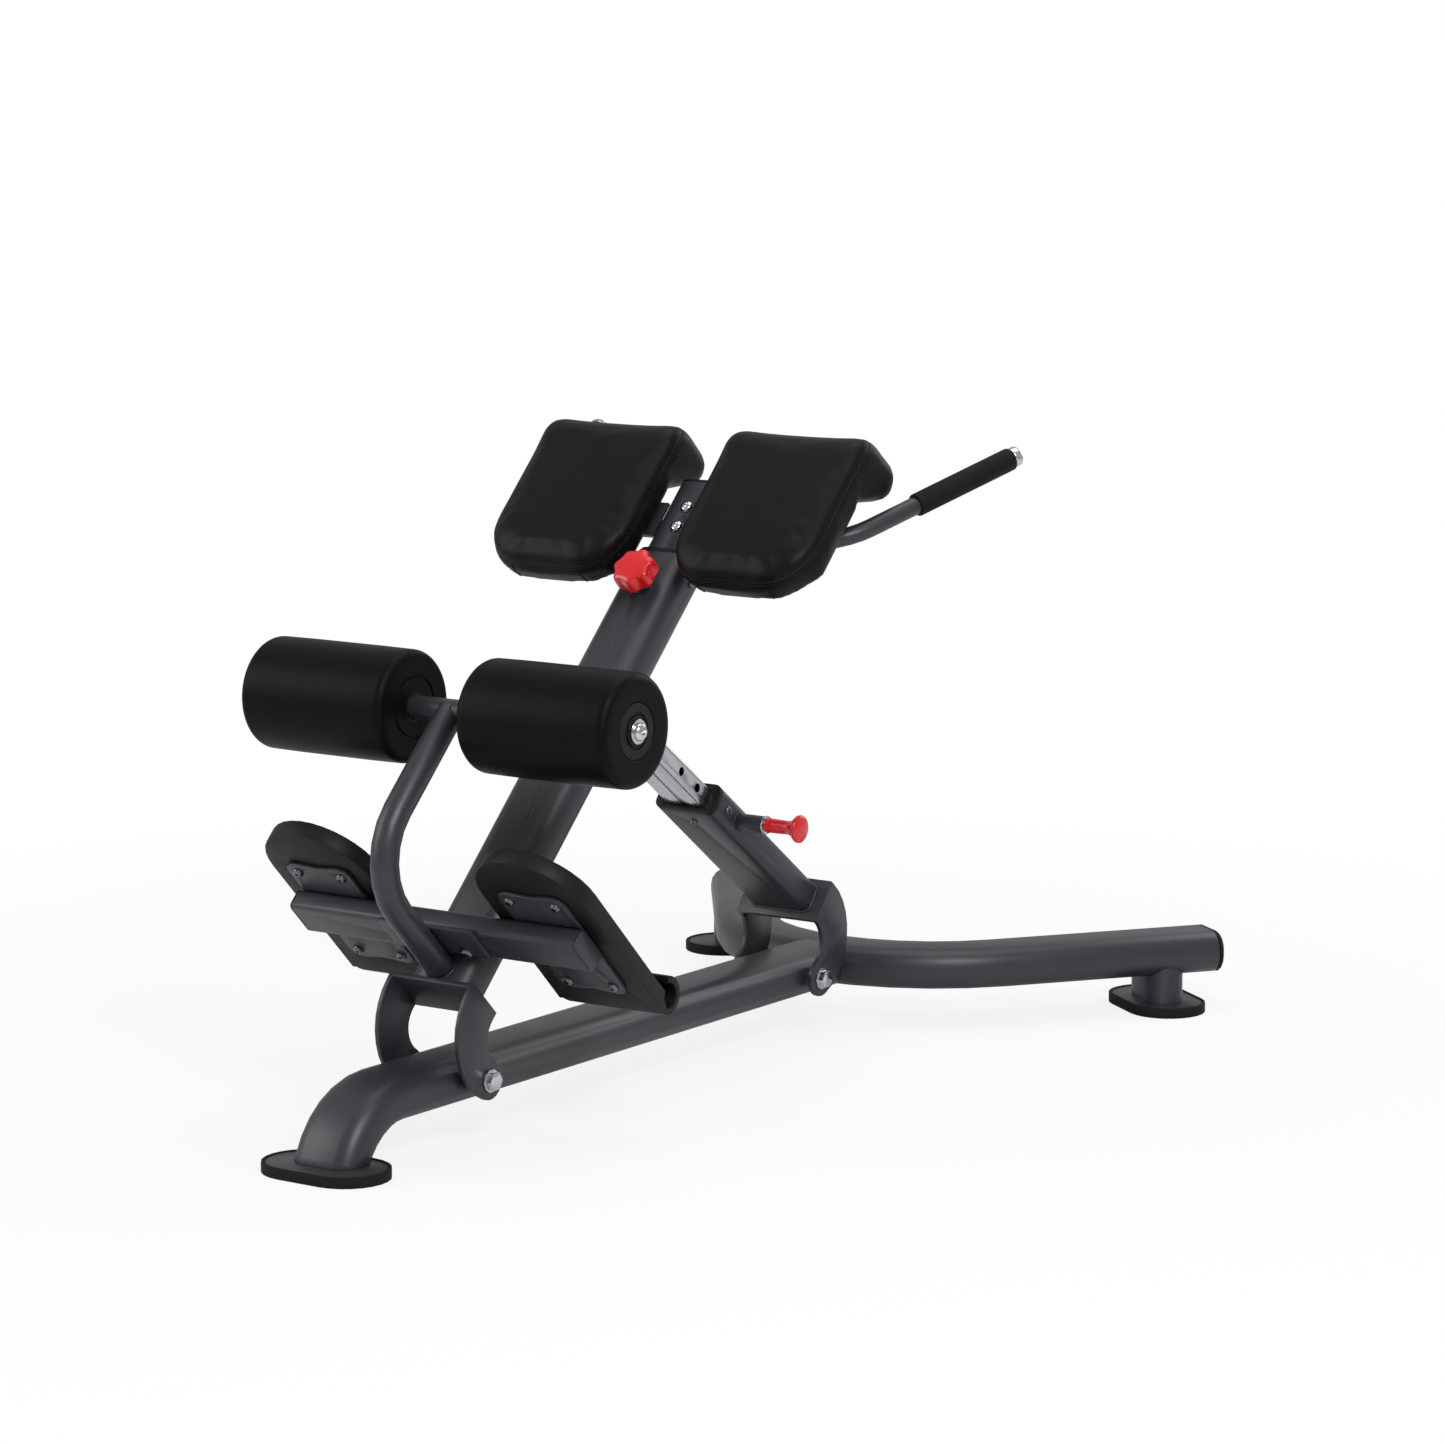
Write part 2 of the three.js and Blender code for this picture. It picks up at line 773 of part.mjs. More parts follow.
const axleBoltHole = alongX(circle(holeFor(axleBoltRadius)), axleBoltStart - touchGap, rollerOuter);
piece(beam, "roller_axle", atAxle(cut(
  alongX(circle(axleRadius), -axleReach, axleReach, roundSteps),
  axleBoltHole,
  mirrored(axleBoltHole),
)), frameGrey());
const axleWasherStart = rollerOuter + touchGap;
const axleHeadStart = axleWasherStart + washerThickness;
pair(beam, "roller_end_bolt", atAxle(joined(
  alongX(circle(axleBoltRadius), axleBoltStart, axleHeadStart + axleBoltHeadHeight),
  alongX(circle(axleRadius), axleWasherStart, axleHeadStart, roundSteps),
  alongX(hexagon(axleBoltHeadRadius), axleHeadStart - touchGap, axleHeadStart + axleBoltHeadHeight),
)), chromeSteel);

// Rollers: a foam sleeve on a plastic hub that has a disc at its outer end
const hubBore = holeFor(axleRadius, roundSteps);
const hubRadius = hubBore + hubWall;
pair(beam, "roller_hub", atAxle(cut(
  joined(
    alongX(circle(hubRadius), rollerInner, rollerOuter, roundSteps),
    alongX(circle(hubDiscRadius), rollerOuter - hubDiscThickness, rollerOuter, roundSteps),
  ),
  alongX(circle(hubBore), rollerInner - cutOverrun, rollerOuter - hubDiscThickness, roundSteps),
  alongX(circle(holeFor(axleBoltRadius)), rollerInner, rollerOuter + cutOverrun),
)), blackPlastic);

// The sleeve's lathe turns about its own Y, which is laid along X
function foamSleeve() {
  const bore = hubRadius + touchGap;
  const recess = hubDiscRadius + touchGap;
  const recessDepth = hubDiscThickness + touchGap;
  const length = rollerOuter - rollerInner;
  const arcPoints = [...Array(bendSteps / 2 + 1).keys()].map((step) => {
    const angle = (step / (bendSteps / 2)) * (Math.PI / 2);
    return [rollerRounding * (1 - Math.sin(angle)), rollerRounding * (1 - Math.cos(angle))];
  });
  const profile = [
    new THREE.Vector2(bore, 0),
    ...arcPoints.map(([along, inward]) => new THREE.Vector2(rollerRadius - along, inward)),
    ...arcPoints.reverse().map(([along, inward]) => (
      new THREE.Vector2(rollerRadius - along, length - inward)
    )),
    new THREE.Vector2(recess, length),
    new THREE.Vector2(recess, length - recessDepth),
    new THREE.Vector2(bore, length - recessDepth),
    new THREE.Vector2(bore, 0),
  ];
  const sleeve = new THREE.LatheGeometry(profile, rollerSideCount);
  return placed(sleeve, axisZ, axisX, new THREE.Vector3(rollerInner, 0, 0));
}

pair(beam, "roller_foam", atAxle(foamSleeve()), foam);

// Cross tube on the beam's front face, its plugs, and the plate that ties it to the roller post
const crossTubeMiddle = crossTubeAlong + crossTubeDepth / 2;
const crossTubeEnd = crossTubeAlong + crossTubeDepth;
const crossTubeLow = beamFront + touchGap;
const crossTubeCentre = crossTubeLow + crossTubeHeight / 2;

function lying(shape, x, z, from, to, steps = smallRoundSteps) {
  return moved(alongY(shape, from, to, 0, steps), x, 0, z);
}

const postPlateStart = crossTubeAlong - touchGap - postPlateThickness;
const plateBoltEnd = postPlateStart + postPlateBoltLength;
const plateBoltHole = lying(
  circle(boltRadius + touchGap),
  postPlateBoltX,
  postPlateBoltHeight,
  postPlateStart - cutOverrun,
  plateBoltEnd + cutOverrun,
);
piece(beam, "cross_tube", cut(
  moved(
    alongX(
      hollowSection(crossTubeDepth, crossTubeHeight, crossTubeCorner, crossTubeWall),
      -crossTubeHalf,
      crossTubeHalf,
      cornerSteps,
    ),
    0,
    crossTubeMiddle,
    crossTubeCentre,
  ),
  plateBoltHole,
  mirrored(plateBoltHole),
), frameGrey());
pair(beam, "cross_tube_cap", placed(
  tubeCap(
    crossTubeDepth,
    crossTubeHeight,
    crossTubeCorner,
    crossTubeWall,
    crossTubeCapThickness,
    capPlugLength,
    crossTubeCapThickness / 4,
  ),
  axisY,
  axisZ,
  new THREE.Vector3(crossTubeHalf, crossTubeMiddle, crossTubeCentre),
), blackPlastic);

// Roller post: a round tube that stands on the beam and bends over to the axle, with its plate
// welded to it and bolted to the cross tube
const postPath = new BentPath(rollerPostAlong, beamFront + touchGap, quarterTurn)
  .run(axleHeight - rollerPostBend - beamFront - touchGap)
  .bend(rollerPostBend, -quarterTurn, bendSteps)
  .run(axleAlong - rollerPostAlong - rollerPostBend);
const postBore = rollerPostRadius - rollerPostWall;
piece(beam, "roller_post", cut(
  joined(
    placed(swept(circle(rollerPostRadius), postPath, roundSteps), axisY, axisZ),
    slab(
      -postPlateHalf,
      postPlateHalf,
      postPlateStart,
      crossTubeAlong - touchGap,
      postPlateLow,
      postPlateHigh,
    ),
  ),
  placed(swept(circle(postBore), postPath, roundSteps), axisY, axisZ),
  pivotHole(holeFor(axleRadius), axleAlong, axleHeight, rollerOuter),
  plateBoltHole,
  mirrored(plateBoltHole),
), frameGrey());

// Footplate brackets: a lobed plate across the back of each end of the cross tube
const footBracketStart = crossTubeEnd + touchGap;
const footBracketEnd = footBracketStart + sheetThickness;
const footBoltXs = [footBracketInnerX + footBracketLobe, footBracketOuterX - footBracketLobe];
const footBoltHeights = [footBracketLow + footBracketLobe, footBracketHigh - footBracketLobe];

function footBracketShape() {
  const outline = new THREE.Shape();
  const [lowZ, highZ] = footBoltHeights;
  const [innerX, outerX] = footBoltXs;
  const middleZ = (lowZ + highZ) / 2;
  const middleX = (innerX + outerX) / 2;
  outline.absarc(lowZ, innerX, footBracketLobe, Math.PI, Math.PI * 1.5);
  outline.quadraticCurveTo(middleZ, footBracketInnerX + footBracketWaist / 2, highZ, footBracketInnerX);
  outline.absarc(highZ, innerX, footBracketLobe, -Math.PI / 2, 0);
  outline.quadraticCurveTo(footBracketHigh - footBracketWaist, middleX, footBracketHigh, outerX);
  outline.absarc(highZ, outerX, footBracketLobe, 0, Math.PI / 2);
  outline.lineTo(lowZ, footBracketOuterX);
  outline.absarc(lowZ, outerX, footBracketLobe, Math.PI / 2, Math.PI);
  outline.quadraticCurveTo(footBracketLow + footBracketWaist, middleX, footBracketLow, innerX);
  return outline;
}

function footBoltHoles(from, to) {
  const bore = circle(boltRadius + touchGap);
  return footBoltXs.flatMap((x) => footBoltHeights.map((z) => lying(bore, x, z, from, to)));
}

pair(beam, "footplate_bracket", cut(
  alongY(footBracketShape(), footBracketStart, footBracketEnd, 0, cornerSteps),
  ...footBoltHoles(footBracketStart - cutOverrun, footBracketEnd + cutOverrun),
), frameGrey);

// Footplates: a thick plate with a round heel, a lip on its upper rim and a rolled toe stop
const footPlateStart = footBracketEnd + touchGap;
const footPlateEnd = footPlateStart + footPlateDeep;

function solePlate(half, toe) {
  const outline = new THREE.Shape();
  outline.moveTo(toe, footPlateCentreX + half);
  outline.lineTo(toe, footPlateCentreX - half);
  outline.absarc(heelCentre, footPlateCentreX, half, -Math.PI / 2, Math.PI / 2);
  outline.closePath();
  return outline;
}

// The roll starts under its own centre, turns down past the toes and curls back over them
function toeRoll() {
  const start = degrees(halfTurn - toeCurlLap);
  const end = degrees(2 * halfTurn + toeCurlOpening);
  const outline = new THREE.Shape();
  outline.absarc(0, 0, toeCurlRadius, start, end);
  outline.absarc(0, 0, toeCurlRadius - toeCurlWall, end, start, true);
  outline.closePath();
  return alongX(
    outline,
    footPlateCentreX - footPlateHalf + toeCurlSideInset,
    footPlateCentreX + footPlateHalf - toeCurlSideInset,
  );
}

function atToeRoll(geometry) {
  return moved(geometry, 0, footPlateStart + toeCurlRise, toeCurlCentre);
}

const lipInner = footPlateHalf - heelLipWidth;
pair(beam, "footplate", cut(
  joined(
    alongY(solePlate(footPlateHalf, toeCurlCentre), footPlateStart, footPlateEnd, 0, roundSteps),
    atToeRoll(toeRoll()),
  ),
  atToeRoll(alongX(circle(toeCurlRadius - toeCurlWall), 0, footPlateCentreX + footPlateHalf + cutOverrun)),
  alongY(
    solePlate(lipInner, toeCurlCentre),
    footPlateEnd - heelLipHeight,
    footPlateEnd + cutOverrun,
    0,
    roundSteps,
  ),
  ...footBoltHoles(footPlateStart - cutOverrun, footPlateStart + footBoltLength + touchGap),
), blackPlastic);

// Strut lug under the beam: a bent plate with two slotted ears
const earInner = lugEarGap / 2;
const earOuter = earInner + lugEarThickness;
const lugBaseTop = beamBack - touchGap;

function lugEar() {
  const outline = new THREE.Shape();
  const centre = lugAlong + lugSlotTravel / 2;
  outline.moveTo(centre + lugRadius, lugBaseTop);
  outline.lineTo(centre - lugRadius, lugBaseTop);
  outline.absarc(centre, lugHeight, lugRadius, Math.PI, Math.PI * 2);
  outline.closePath();
  const slot = new THREE.Path();
  slot.absarc(lugAlong, lugHeight, lugSlotRadius, Math.PI / 2, Math.PI * 1.5);
  slot.absarc(lugAlong + lugSlotTravel, lugHeight, lugSlotRadius, -Math.PI / 2, Math.PI / 2);
  slot.closePath();
  outline.holes.push(slot);
  return alongX(outline, earInner, earOuter);
}

const lugCentre = lugAlong + lugSlotTravel / 2;
piece(beam, "strut_lug", joined(
  lugEar(),
  mirrored(lugEar()),
  slab(
    -earOuter,
    earOuter,
    lugCentre - lugRadius,
    lugCentre + lugRadius,
    lugBaseTop - sheetThickness,
    lugBaseTop,
  ),
), frameGrey());

// Star knob: a boss with a hollow neck, a sprung pin, and a lobed knob that covers the neck
const bossStart = beamFront + touchGap;
const bossEnd = bossStart + knobBossHeight;
const neckEnd = bossEnd + knobNeckHeight;
const pinBore = holeFor(starPinRadius);
const innerPostFront = beamCentre + innerPostDepth / 2;
const starPinTip = innerPostFront + 2 * touchGap;
const collarLow = bossStart + touchGap;
piece(beam, "star_knob_boss", cut(
  joined(
    standing(circle(knobBossRadius), 0, starKnobAlong, bossStart, bossEnd, roundSteps),
    standing(circle(knobNeckRadius), 0, starKnobAlong, bossStart, neckEnd),
  ),
  standing(circle(knobNeckBore), 0, starKnobAlong, bossStart - cutOverrun, neckEnd - tubeWall),
  standing(circle(pinBore), 0, starKnobAlong, bossStart, neckEnd + cutOverrun),
), zincSteel());
const knobTop = bossEnd + touchGap + knobHeight;
piece(beam, "star_knob_pin", joined(
  standing(circle(starPinRadius), 0, starKnobAlong, starPinTip, knobTop - tubeWall),
  standing(circle(starPinCollar), 0, starKnobAlong, collarLow, collarLow + starPinCollarLength),
), chromeSteel());
const starSpringStart = collarLow + starPinCollarLength + touchGap;
piece(beam, "star_knob_spring", standing(
  ring(starPinCollar, starPinRadius + touchGap),
  0,
  starKnobAlong,
  starSpringStart,
  starSpringStart + starSpringLength,
), zincSteel());

function starShape() {
  const lobePointCount = 4;
  const count = knobLobeCount * lobePointCount;
  return new THREE.Shape([...Array(count).keys()].map((i) => {
    const angle = (i / count) * Math.PI * 2;
    const wave = (1 - Math.cos(angle * knobLobeCount)) / 2;
    const radius = knobRadius - knobRounding - knobLobeDepth * wave ** 2;
    return new THREE.Vector2(radius * Math.cos(angle), radius * Math.sin(angle));
  }));
}

const starBody = new THREE.ExtrudeGeometry(starShape(), {
  depth: knobHeight - 2 * knobRounding,
  bevelEnabled: true,
  bevelThickness: knobRounding,
  bevelSize: knobRounding,
  bevelSegments: cornerSteps,
}).translate(0, starKnobAlong, bossEnd + touchGap + knobRounding);
piece(beam, "star_knob", cut(
  starBody,
  standing(circle(holeFor(knobNeckRadius)), 0, starKnobAlong, bossEnd, neckEnd + touchGap),
  standing(circle(pinBore), 0, starKnobAlong, bossEnd, knobTop - tubeWall + touchGap),
), redPlastic());

// Inner post: the smaller tube that slides in the beam and carries the pads and the handlebar
const postHoleOffsets = [...Array(postHoleCountBelow + 2).keys()].map((i) => (1 - i) * postHoleSpacing);
const postBolts = [postBoltLow, postBoltHigh];
const handlebarHole = holeFor(handlebarRadius);
piece(beam, "inner_post", cut(
  alongY(
    hollowSection(innerPostDepth, innerPostWidth, innerPostCorner, innerPostWall),
    innerPostLow,
    innerPostHigh,
    beamCentre,
  ),
  ...postHoleOffsets.map((offset) => standing(
    circle(postHoleRadius),
    0,
    starKnobAlong + offset,
    beamCentre,
    innerPostFront + cutOverrun,
  )),
  ...postBolts.map((along) => standing(
    circle(boltRadius + touchGap),
    0,
    along,
    beamCentre,
    innerPostFront + cutOverrun,
  )),
  pivotHole(handlebarHole, handlebarAlong, beamCentre, innerPostWidth),
), frameGrey());

// The post's lower glide and its top cap, each with a plug in the tube
function postPlug(outerDepth, outerWidth, outerCorner, thickness, plugLength) {
  const inset = 2 * (innerPostWall + touchGap);
  return joined(
    extruded(
      roundedBar(outerDepth, outerWidth, outerCorner),
      thickness,
      cornerSteps,
    ).translate(0, 0, touchGap),
    extruded(
      roundedBar(innerPostDepth - inset, innerPostWidth - inset, innerPostCorner - innerPostWall - touchGap),
      plugLength + 2 * touchGap,
      cornerSteps,
    ).translate(0, 0, -plugLength),
  );
}

piece(beam, "post_glide", placed(
  postPlug(linerOuterDepth, linerOuterWidth, linerOuterCorner, postGlideLength, postGlidePlug),
  axisZ.clone().negate(),
  axisX,
  new THREE.Vector3(0, innerPostLow, beamCentre),
), blackPlastic());
piece(beam, "post_cap", placed(
  postPlug(innerPostDepth, innerPostWidth, innerPostCorner, postCapThickness, postGlidePlug),
  axisZ,
  axisX,
  new THREE.Vector3(0, innerPostHigh, beamCentre),
), blackPlastic());

// Pad plates: welded to the post's sides over the handlebar, with a wing down behind each pad
const padPlateTop = padBack - touchGap;
const padPlateBottom = padPlateTop - padPlateThickness;
const padPlateInner = innerPostWidth / 2 + touchGap;
const padBoltAlongs = [padBoltLowAlong, padBoltHighAlong];
const padBoltXs = [padBoltInnerX, padBoltOuterX];
const padBoltPlaces = padBoltXs.flatMap((x) => padBoltAlongs.map((along) => [x, along]));
const padPlateShape = new THREE.Shape();
padPlateShape.moveTo(padPlateInner, padPlateHigh);
padPlateShape.lineTo(padPlateInner, padPlateLow);
padPlateShape.lineTo(padPlateWingX, padPlateLow);
padPlateShape.lineTo(padPlateWingX, padPlateWingLow);
padPlateShape.lineTo(padPlateOuterX, padPlateWingLow);
padPlateShape.lineTo(padPlateOuterX, padPlateHigh);
padPlateShape.closePath();

function padBoltHoles(from, to) {
  return padBoltPlaces.map(([x, along]) => standing(circle(boltRadius + touchGap), x, along, from, to));
}

pair(beam, "pad_plate", cut(
  alongZ(padPlateShape, padPlateBottom, padPlateTop),
  ...padBoltHoles(padPlateBottom - cutOverrun, padPlateTop + cutOverrun),
), frameGrey);

// Pad boards, let into the back of each pad
const boardShape = roundedBar(boardOuterX - boardInnerX, boardHigh - boardLow, boardCorner);
const boardMiddleX = (boardInnerX + boardOuterX) / 2;
const boardMiddleAlong = (boardLow + boardHigh) / 2;
pair(beam, "pad_board", cut(
  standing(boardShape, boardMiddleX, boardMiddleAlong, padBack, padBack + boardThickness, cornerSteps),
  ...padBoltHoles(padBack - cutOverrun, padBack + boardThickness + cutOverrun),
), plywood);

// Hip pads: an upholstered block with a crowned front, a rounded end each side and a leg at its top
function padOutline() {
  const low = padBottom + padEdge;
  const high = padTop - padEdge;
  const front = padFront - padEdge;
  const back = padBack + padEdge;
  const legLow = padLegLow + padEdge;
  const legEnd = padLegEnd + padEdge * Math.SQRT1_2;
  const legBase = padLegBase + padEdge * Math.SQRT1_2;
  const topRadius = padTopCorner - padEdge;
  const bottomRadius = (front - back) / 2;
  const legRadius = Math.min(padLegCorner, (high - legEnd) / 2);
  const outline = new THREE.Shape();
  outline.moveTo(low + bottomRadius, back);
  outline.lineTo(legBase, back);
  outline.lineTo(legEnd, legLow + legRadius);
  outline.quadraticCurveTo(legEnd + legRadius / 2, legLow, legEnd + legRadius, legLow);
  outline.lineTo(high - legRadius, legLow);
  outline.quadraticCurveTo(high, legLow, high, legLow + legRadius);
  outline.absarc(high - topRadius, front - topRadius, topRadius, 0, Math.PI / 2);
  const faceSteps = 4;
  const faceStart = high - topRadius;
  const faceEnd = low + bottomRadius;
  for (let step = 1; step < faceSteps; step += 1) {
    outline.lineTo(faceStart + ((faceEnd - faceStart) * step) / faceSteps, front);
  }
  outline.absarc(low + bottomRadius, front - bottomRadius, bottomRadius, Math.PI / 2, Math.PI * 1.5);
  outline.closePath();
  return outline;
}

// How far a pad's lower end is raised at a distance in from its side, for the round corners seen in front
function padCornerLift(fromSide) {
  const across = Math.max(0, padPlanCorner - fromSide);
  return padPlanCorner - Math.sqrt(padPlanCorner ** 2 - across ** 2);
}

// A cushion's outer and lower rear edges are tighter than its other ones, so less is rounded off there
function tightened(inset, reach, behind) {
  const share = 1 - (1 - padBackEdgeShare) * Math.sqrt(THREE.MathUtils.clamp(behind, 0, 1));
  return inset <= reach + touchGap ? inset * share : inset;
}

function cushion() {
  const width = padOuterX - padInnerX;
  const pad = placed(new THREE.ExtrudeGeometry(padOutline(), {
    depth: width - 2 * padEdge,
    steps: padSteps,
    bevelEnabled: true,
    bevelThickness: padEdge,
    bevelSize: padEdge,
    bevelSegments: padBevelSteps,
    curveSegments: cornerSteps,
  }), axisY, axisZ, new THREE.Vector3(padInnerX + padEdge, 0, 0));
  const middleX = (padInnerX + padOuterX) / 2;
  const middleAlong = (padBottom + padTop) / 2;
  const middleHeight = (padFront + padBack) / 2;
  const position = pad.getAttribute("position");
  for (let i = 0; i < position.count; i += 1) {
    const behindEdge = 1 - (position.getZ(i) - padBack) / padEdge;
    position.setX(i, padOuterX - tightened(padOuterX - position.getX(i), padEdge, behindEdge));
    const halfDepth = middleHeight - padBack;
    const behindMiddle = (middleHeight - position.getZ(i)) / halfDepth;
    position.setY(i, padBottom + tightened(position.getY(i) - padBottom, halfDepth, behindMiddle));
    const across = (position.getX(i) - middleX) / (width / 2);
    const up = (position.getY(i) - middleAlong) / ((padTop - padBottom) / 2);
    const raised = Math.max(0, (position.getZ(i) - middleHeight) / (padFront - middleHeight));
    const crown = padCrown * (1 - across ** 2) * Math.max(0, 1 - up ** 2) * raised;
    const outer = Math.max(0, Math.abs(across) * 2 - 1);
    const draw = padSideDraw * outer * Math.max(0, 1 - up ** 2) * (1 - raised);
    const fromSide = (width / 2) * (1 - Math.abs(across));
    const fromBottom = position.getY(i) - padBottom - padPlanFlat;
    const share = 1 - THREE.MathUtils.clamp(fromBottom / padPlanReach, 0, 1);
    position.setX(i, position.getX(i) - Math.sign(across) * draw);
    position.setY(i, position.getY(i) + padCornerLift(fromSide) * share);
    position.setZ(i, position.getZ(i) + crown);
  }
  return pad;
}

pair(beam, "hip_pad", cut(
  cushion(),
  standing(
    roundedBar(
      boardOuterX - boardInnerX + 2 * touchGap,
      boardHigh - boardLow + 2 * touchGap,
      boardCorner + touchGap,
    ),
    boardMiddleX,
    boardMiddleAlong,
    padBack - cutOverrun,
    padBack + boardThickness + touchGap,
    cornerSteps,
  ),
), vinyl);

// Handlebar: one tube through the post, bent up at both ends, in a plane tilted off the beam
const handlebarBore = (handlebarRadius - handlebarWall) * Math.cos(Math.PI / (2 * smallRoundSteps));
const gripPlugRadius = handlebarBore - touchGap;
const gripStart = handlebarReach - gripLength - gripCapLength;
const handleStep = handlebarBend * Math.tan(degrees(handlebarTurn) / 2);
const handleDirection = new THREE.Vector3(
  0,
  Math.cos(degrees(handlebarTilt)),
  Math.sin(degrees(handlebarTilt)),
);
const handleOrigin = new THREE.Vector3(0, handlebarAlong, beamCentre);

function handleSpot(distance) {
  return new THREE.Vector2(
    handlebarCornerX + distance * Math.cos(degrees(handlebarTurn)),
    distance * Math.sin(degrees(handlebarTurn)),
  );
}

const handleTubeEnd = handlebarReach - gripCapLength;
const handleEnd = handleSpot(handleTubeEnd);
const handlePath = new BentPath(-handleEnd.x, handleEnd.y, -handlebarTurn)
  .run(handleTubeEnd - handleStep)
  .bend(handlebarBend, handlebarTurn, bendSteps)
  .run(2 * (handlebarCornerX - handleStep))
  .bend(handlebarBend, handlebarTurn, bendSteps)
  .run(handleTubeEnd - handleStep);
piece(beam, "handlebar", placed(
  swept(ring(handlebarRadius, handlebarRadius - handlebarWall), handlePath, smallRoundSteps + plugSteps),
  axisX,
  handleDirection,
  handleOrigin,
), frameGrey());

// Pieces on the handlebar's right end, built along its axis from the bend's corner
function onHandle(geometry) {
  const turn = degrees(handlebarTurn);
  const along = axisX.clone().multiplyScalar(Math.cos(turn));
  along.addScaledVector(handleDirection, Math.sin(turn));
  const across = new THREE.Vector3().crossVectors(axisX, handleDirection);
  const origin = handleOrigin.clone().addScaledVector(axisX, handlebarCornerX);
  return placed(geometry, across, new THREE.Vector3().crossVectors(along, across), origin);
}

pair(beam, "grip", onHandle(extruded(
  ring(gripRadius, handlebarRadius + touchGap),
  gripLength - touchGap,
  roundSteps,
).translate(0, 0, gripStart)), rubber);
pair(beam, "grip_cap", onHandle(joined(
  new THREE.ExtrudeGeometry(circle(gripCapRadius - cornerSteps), {
    depth: gripCapLength - 2 * cornerSteps,
    bevelEnabled: true,
    bevelThickness: cornerSteps,
    bevelSize: cornerSteps,
    bevelSegments: cornerSteps,
    curveSegments: roundSteps,
  }).translate(0, 0, handleTubeEnd + touchGap + cornerSteps),
  extruded(circle(gripPlugRadius), gripCapPlug + cutOverrun, smallRoundSteps)
    .translate(0, 0, handleTubeEnd - gripCapPlug),
)), chromeSteel);

// Support strut group: Y runs up the strut from the rear pivot and Z points to its underside
const strut = new THREE.Group();
strut.position.set(0, rearPivotY, baseHeight);
strut.rotation.x = degrees(halfTurn - strutIncline);
chair.add(strut);

const strutStart = rearWebNear + bracketPlate + touchGap;
const rearArms = pivotBracket(rearWebNear, rearWebBottom, rearWebTop, rearArcAlong, -1);
piece(strut, "rear_bracket", rearArms, frameGrey());

function pinCylinder(radius, from, to, steps = smallRoundSteps) {
  return moved(alongX(circle(radius), from, to, steps), 0, pullPinAlong, -strutOffset);
}

const pinClearHole = holeFor(pullPinRadius);
const strutScrewAlong = strutTubeEnd - strutScrewMargin;
const strutUnderside = -strutOffset + strutTubeDepth / 2;
piece(strut, "strut_tube", cut(
  alongY(
    hollowSection(strutTubeDepth, strutTubeWidth, strutTubeCorner, tubeWall),
    strutStart,
    strutTubeEnd,
    -strutOffset,
  ),
  pinCylinder(pinClearHole, 0, strutTubeWidth),
  standing(
    circle(strutScrewRadius + touchGap),
    0,
    strutScrewAlong,
    strutUnderside - tubeWall - cutOverrun,
    strutUnderside + cutOverrun,
  ),
), frameGrey());

// Strut liner and its collar, around the inner strut
const strutLinerStart = strutTubeEnd - strutLinerLength;
const strutCollarStart = strutTubeEnd + touchGap;
const strutCollarEnd = strutCollarStart + strutLinerCollar;
const strutBoreInset = 2 * (tubeWall + touchGap);
piece(strut, "strut_liner", cut(
  joined(
    alongY(
      roundedBar(
        strutTubeDepth - strutBoreInset,
        strutTubeWidth - strutBoreInset,
        strutTubeCorner - tubeWall - touchGap,
      ),
      strutLinerStart,
      strutCollarEnd,
      -strutOffset,
    ),
    alongY(
      roundedBar(strutTubeDepth, strutTubeWidth, strutTubeCorner),
      strutCollarStart,
      strutCollarEnd,
      -strutOffset,
    ),
  ),
  alongY(
    roundedBar(
      innerStrutDepth + 2 * linerFit,
      innerStrutWidth + 2 * linerFit,
      innerStrutCorner + linerFit,
    ),
    strutLinerStart - cutOverrun,
    strutCollarEnd + cutOverrun,
    -strutOffset,
  ),
  pinCylinder(pinClearHole, innerStrutWidth / 2, strutTubeWidth),
), blackPlastic());

// Inner strut: a plated tube with a groove below and pin holes in its right side
const innerStrutHigh = strutPinAlong + innerStrutPast;
const strutHoleCount = strutHoleCountAbove + strutHoleCountBelow + 1;
const strutHoleNumbers = [...Array(strutHoleCount).keys()];
const strutHoles = strutHoleNumbers.map((i) => (i - strutHoleCountBelow) * strutHoleSpacing);
const innerUnderside = -strutOffset + innerStrutDepth / 2;
piece(strut, "strut_inner", cut(
  alongY(
    hollowSection(innerStrutDepth, innerStrutWidth, innerStrutCorner, innerStrutWall),
    innerStrutLow,
    innerStrutHigh,
    -strutOffset,
  ),
  ...strutHoles.map((offset) => moved(pinCylinder(strutHoleRadius, 0, strutTubeWidth), 0, offset, 0)),
  slab(
    -strutGrooveWidth / 2,
    strutGrooveWidth / 2,
    strutGrooveStart,
    innerStrutHigh - strutGrooveMargin,
    innerUnderside - strutGrooveDepth,
    innerUnderside + cutOverrun,
  ),
  moved(
    alongX(circle(strutPinRadius + touchGap), -strutTubeWidth, strutTubeWidth),
    0,
    strutPinAlong,
    -strutOffset,
  ),
), chromeSteel());

function strutPlug(outerDepth, outerWidth, outerCorner, thickness) {
  const inset = 2 * (innerStrutWall + touchGap);
  return joined(
    extruded(
      roundedBar(outerWidth, outerDepth, outerCorner),
      thickness,
      cornerSteps,
    ).translate(0, 0, touchGap),
    extruded(
      roundedBar(
        innerStrutWidth - inset,
        innerStrutDepth - inset,
        innerStrutCorner - innerStrutWall - touchGap,
      ),
      strutGlidePlug + 2 * touchGap,
      cornerSteps,
    ).translate(0, 0, -strutGlidePlug),
  );
}

piece(strut, "strut_glide", placed(
  strutPlug(
    strutTubeDepth - strutBoreInset,
    strutTubeWidth - strutBoreInset,
    strutTubeCorner - tubeWall - touchGap,
    strutGlideThickness,
  ),
  axisX,
  axisZ,
  new THREE.Vector3(0, innerStrutLow, -strutOffset),
), blackPlastic());

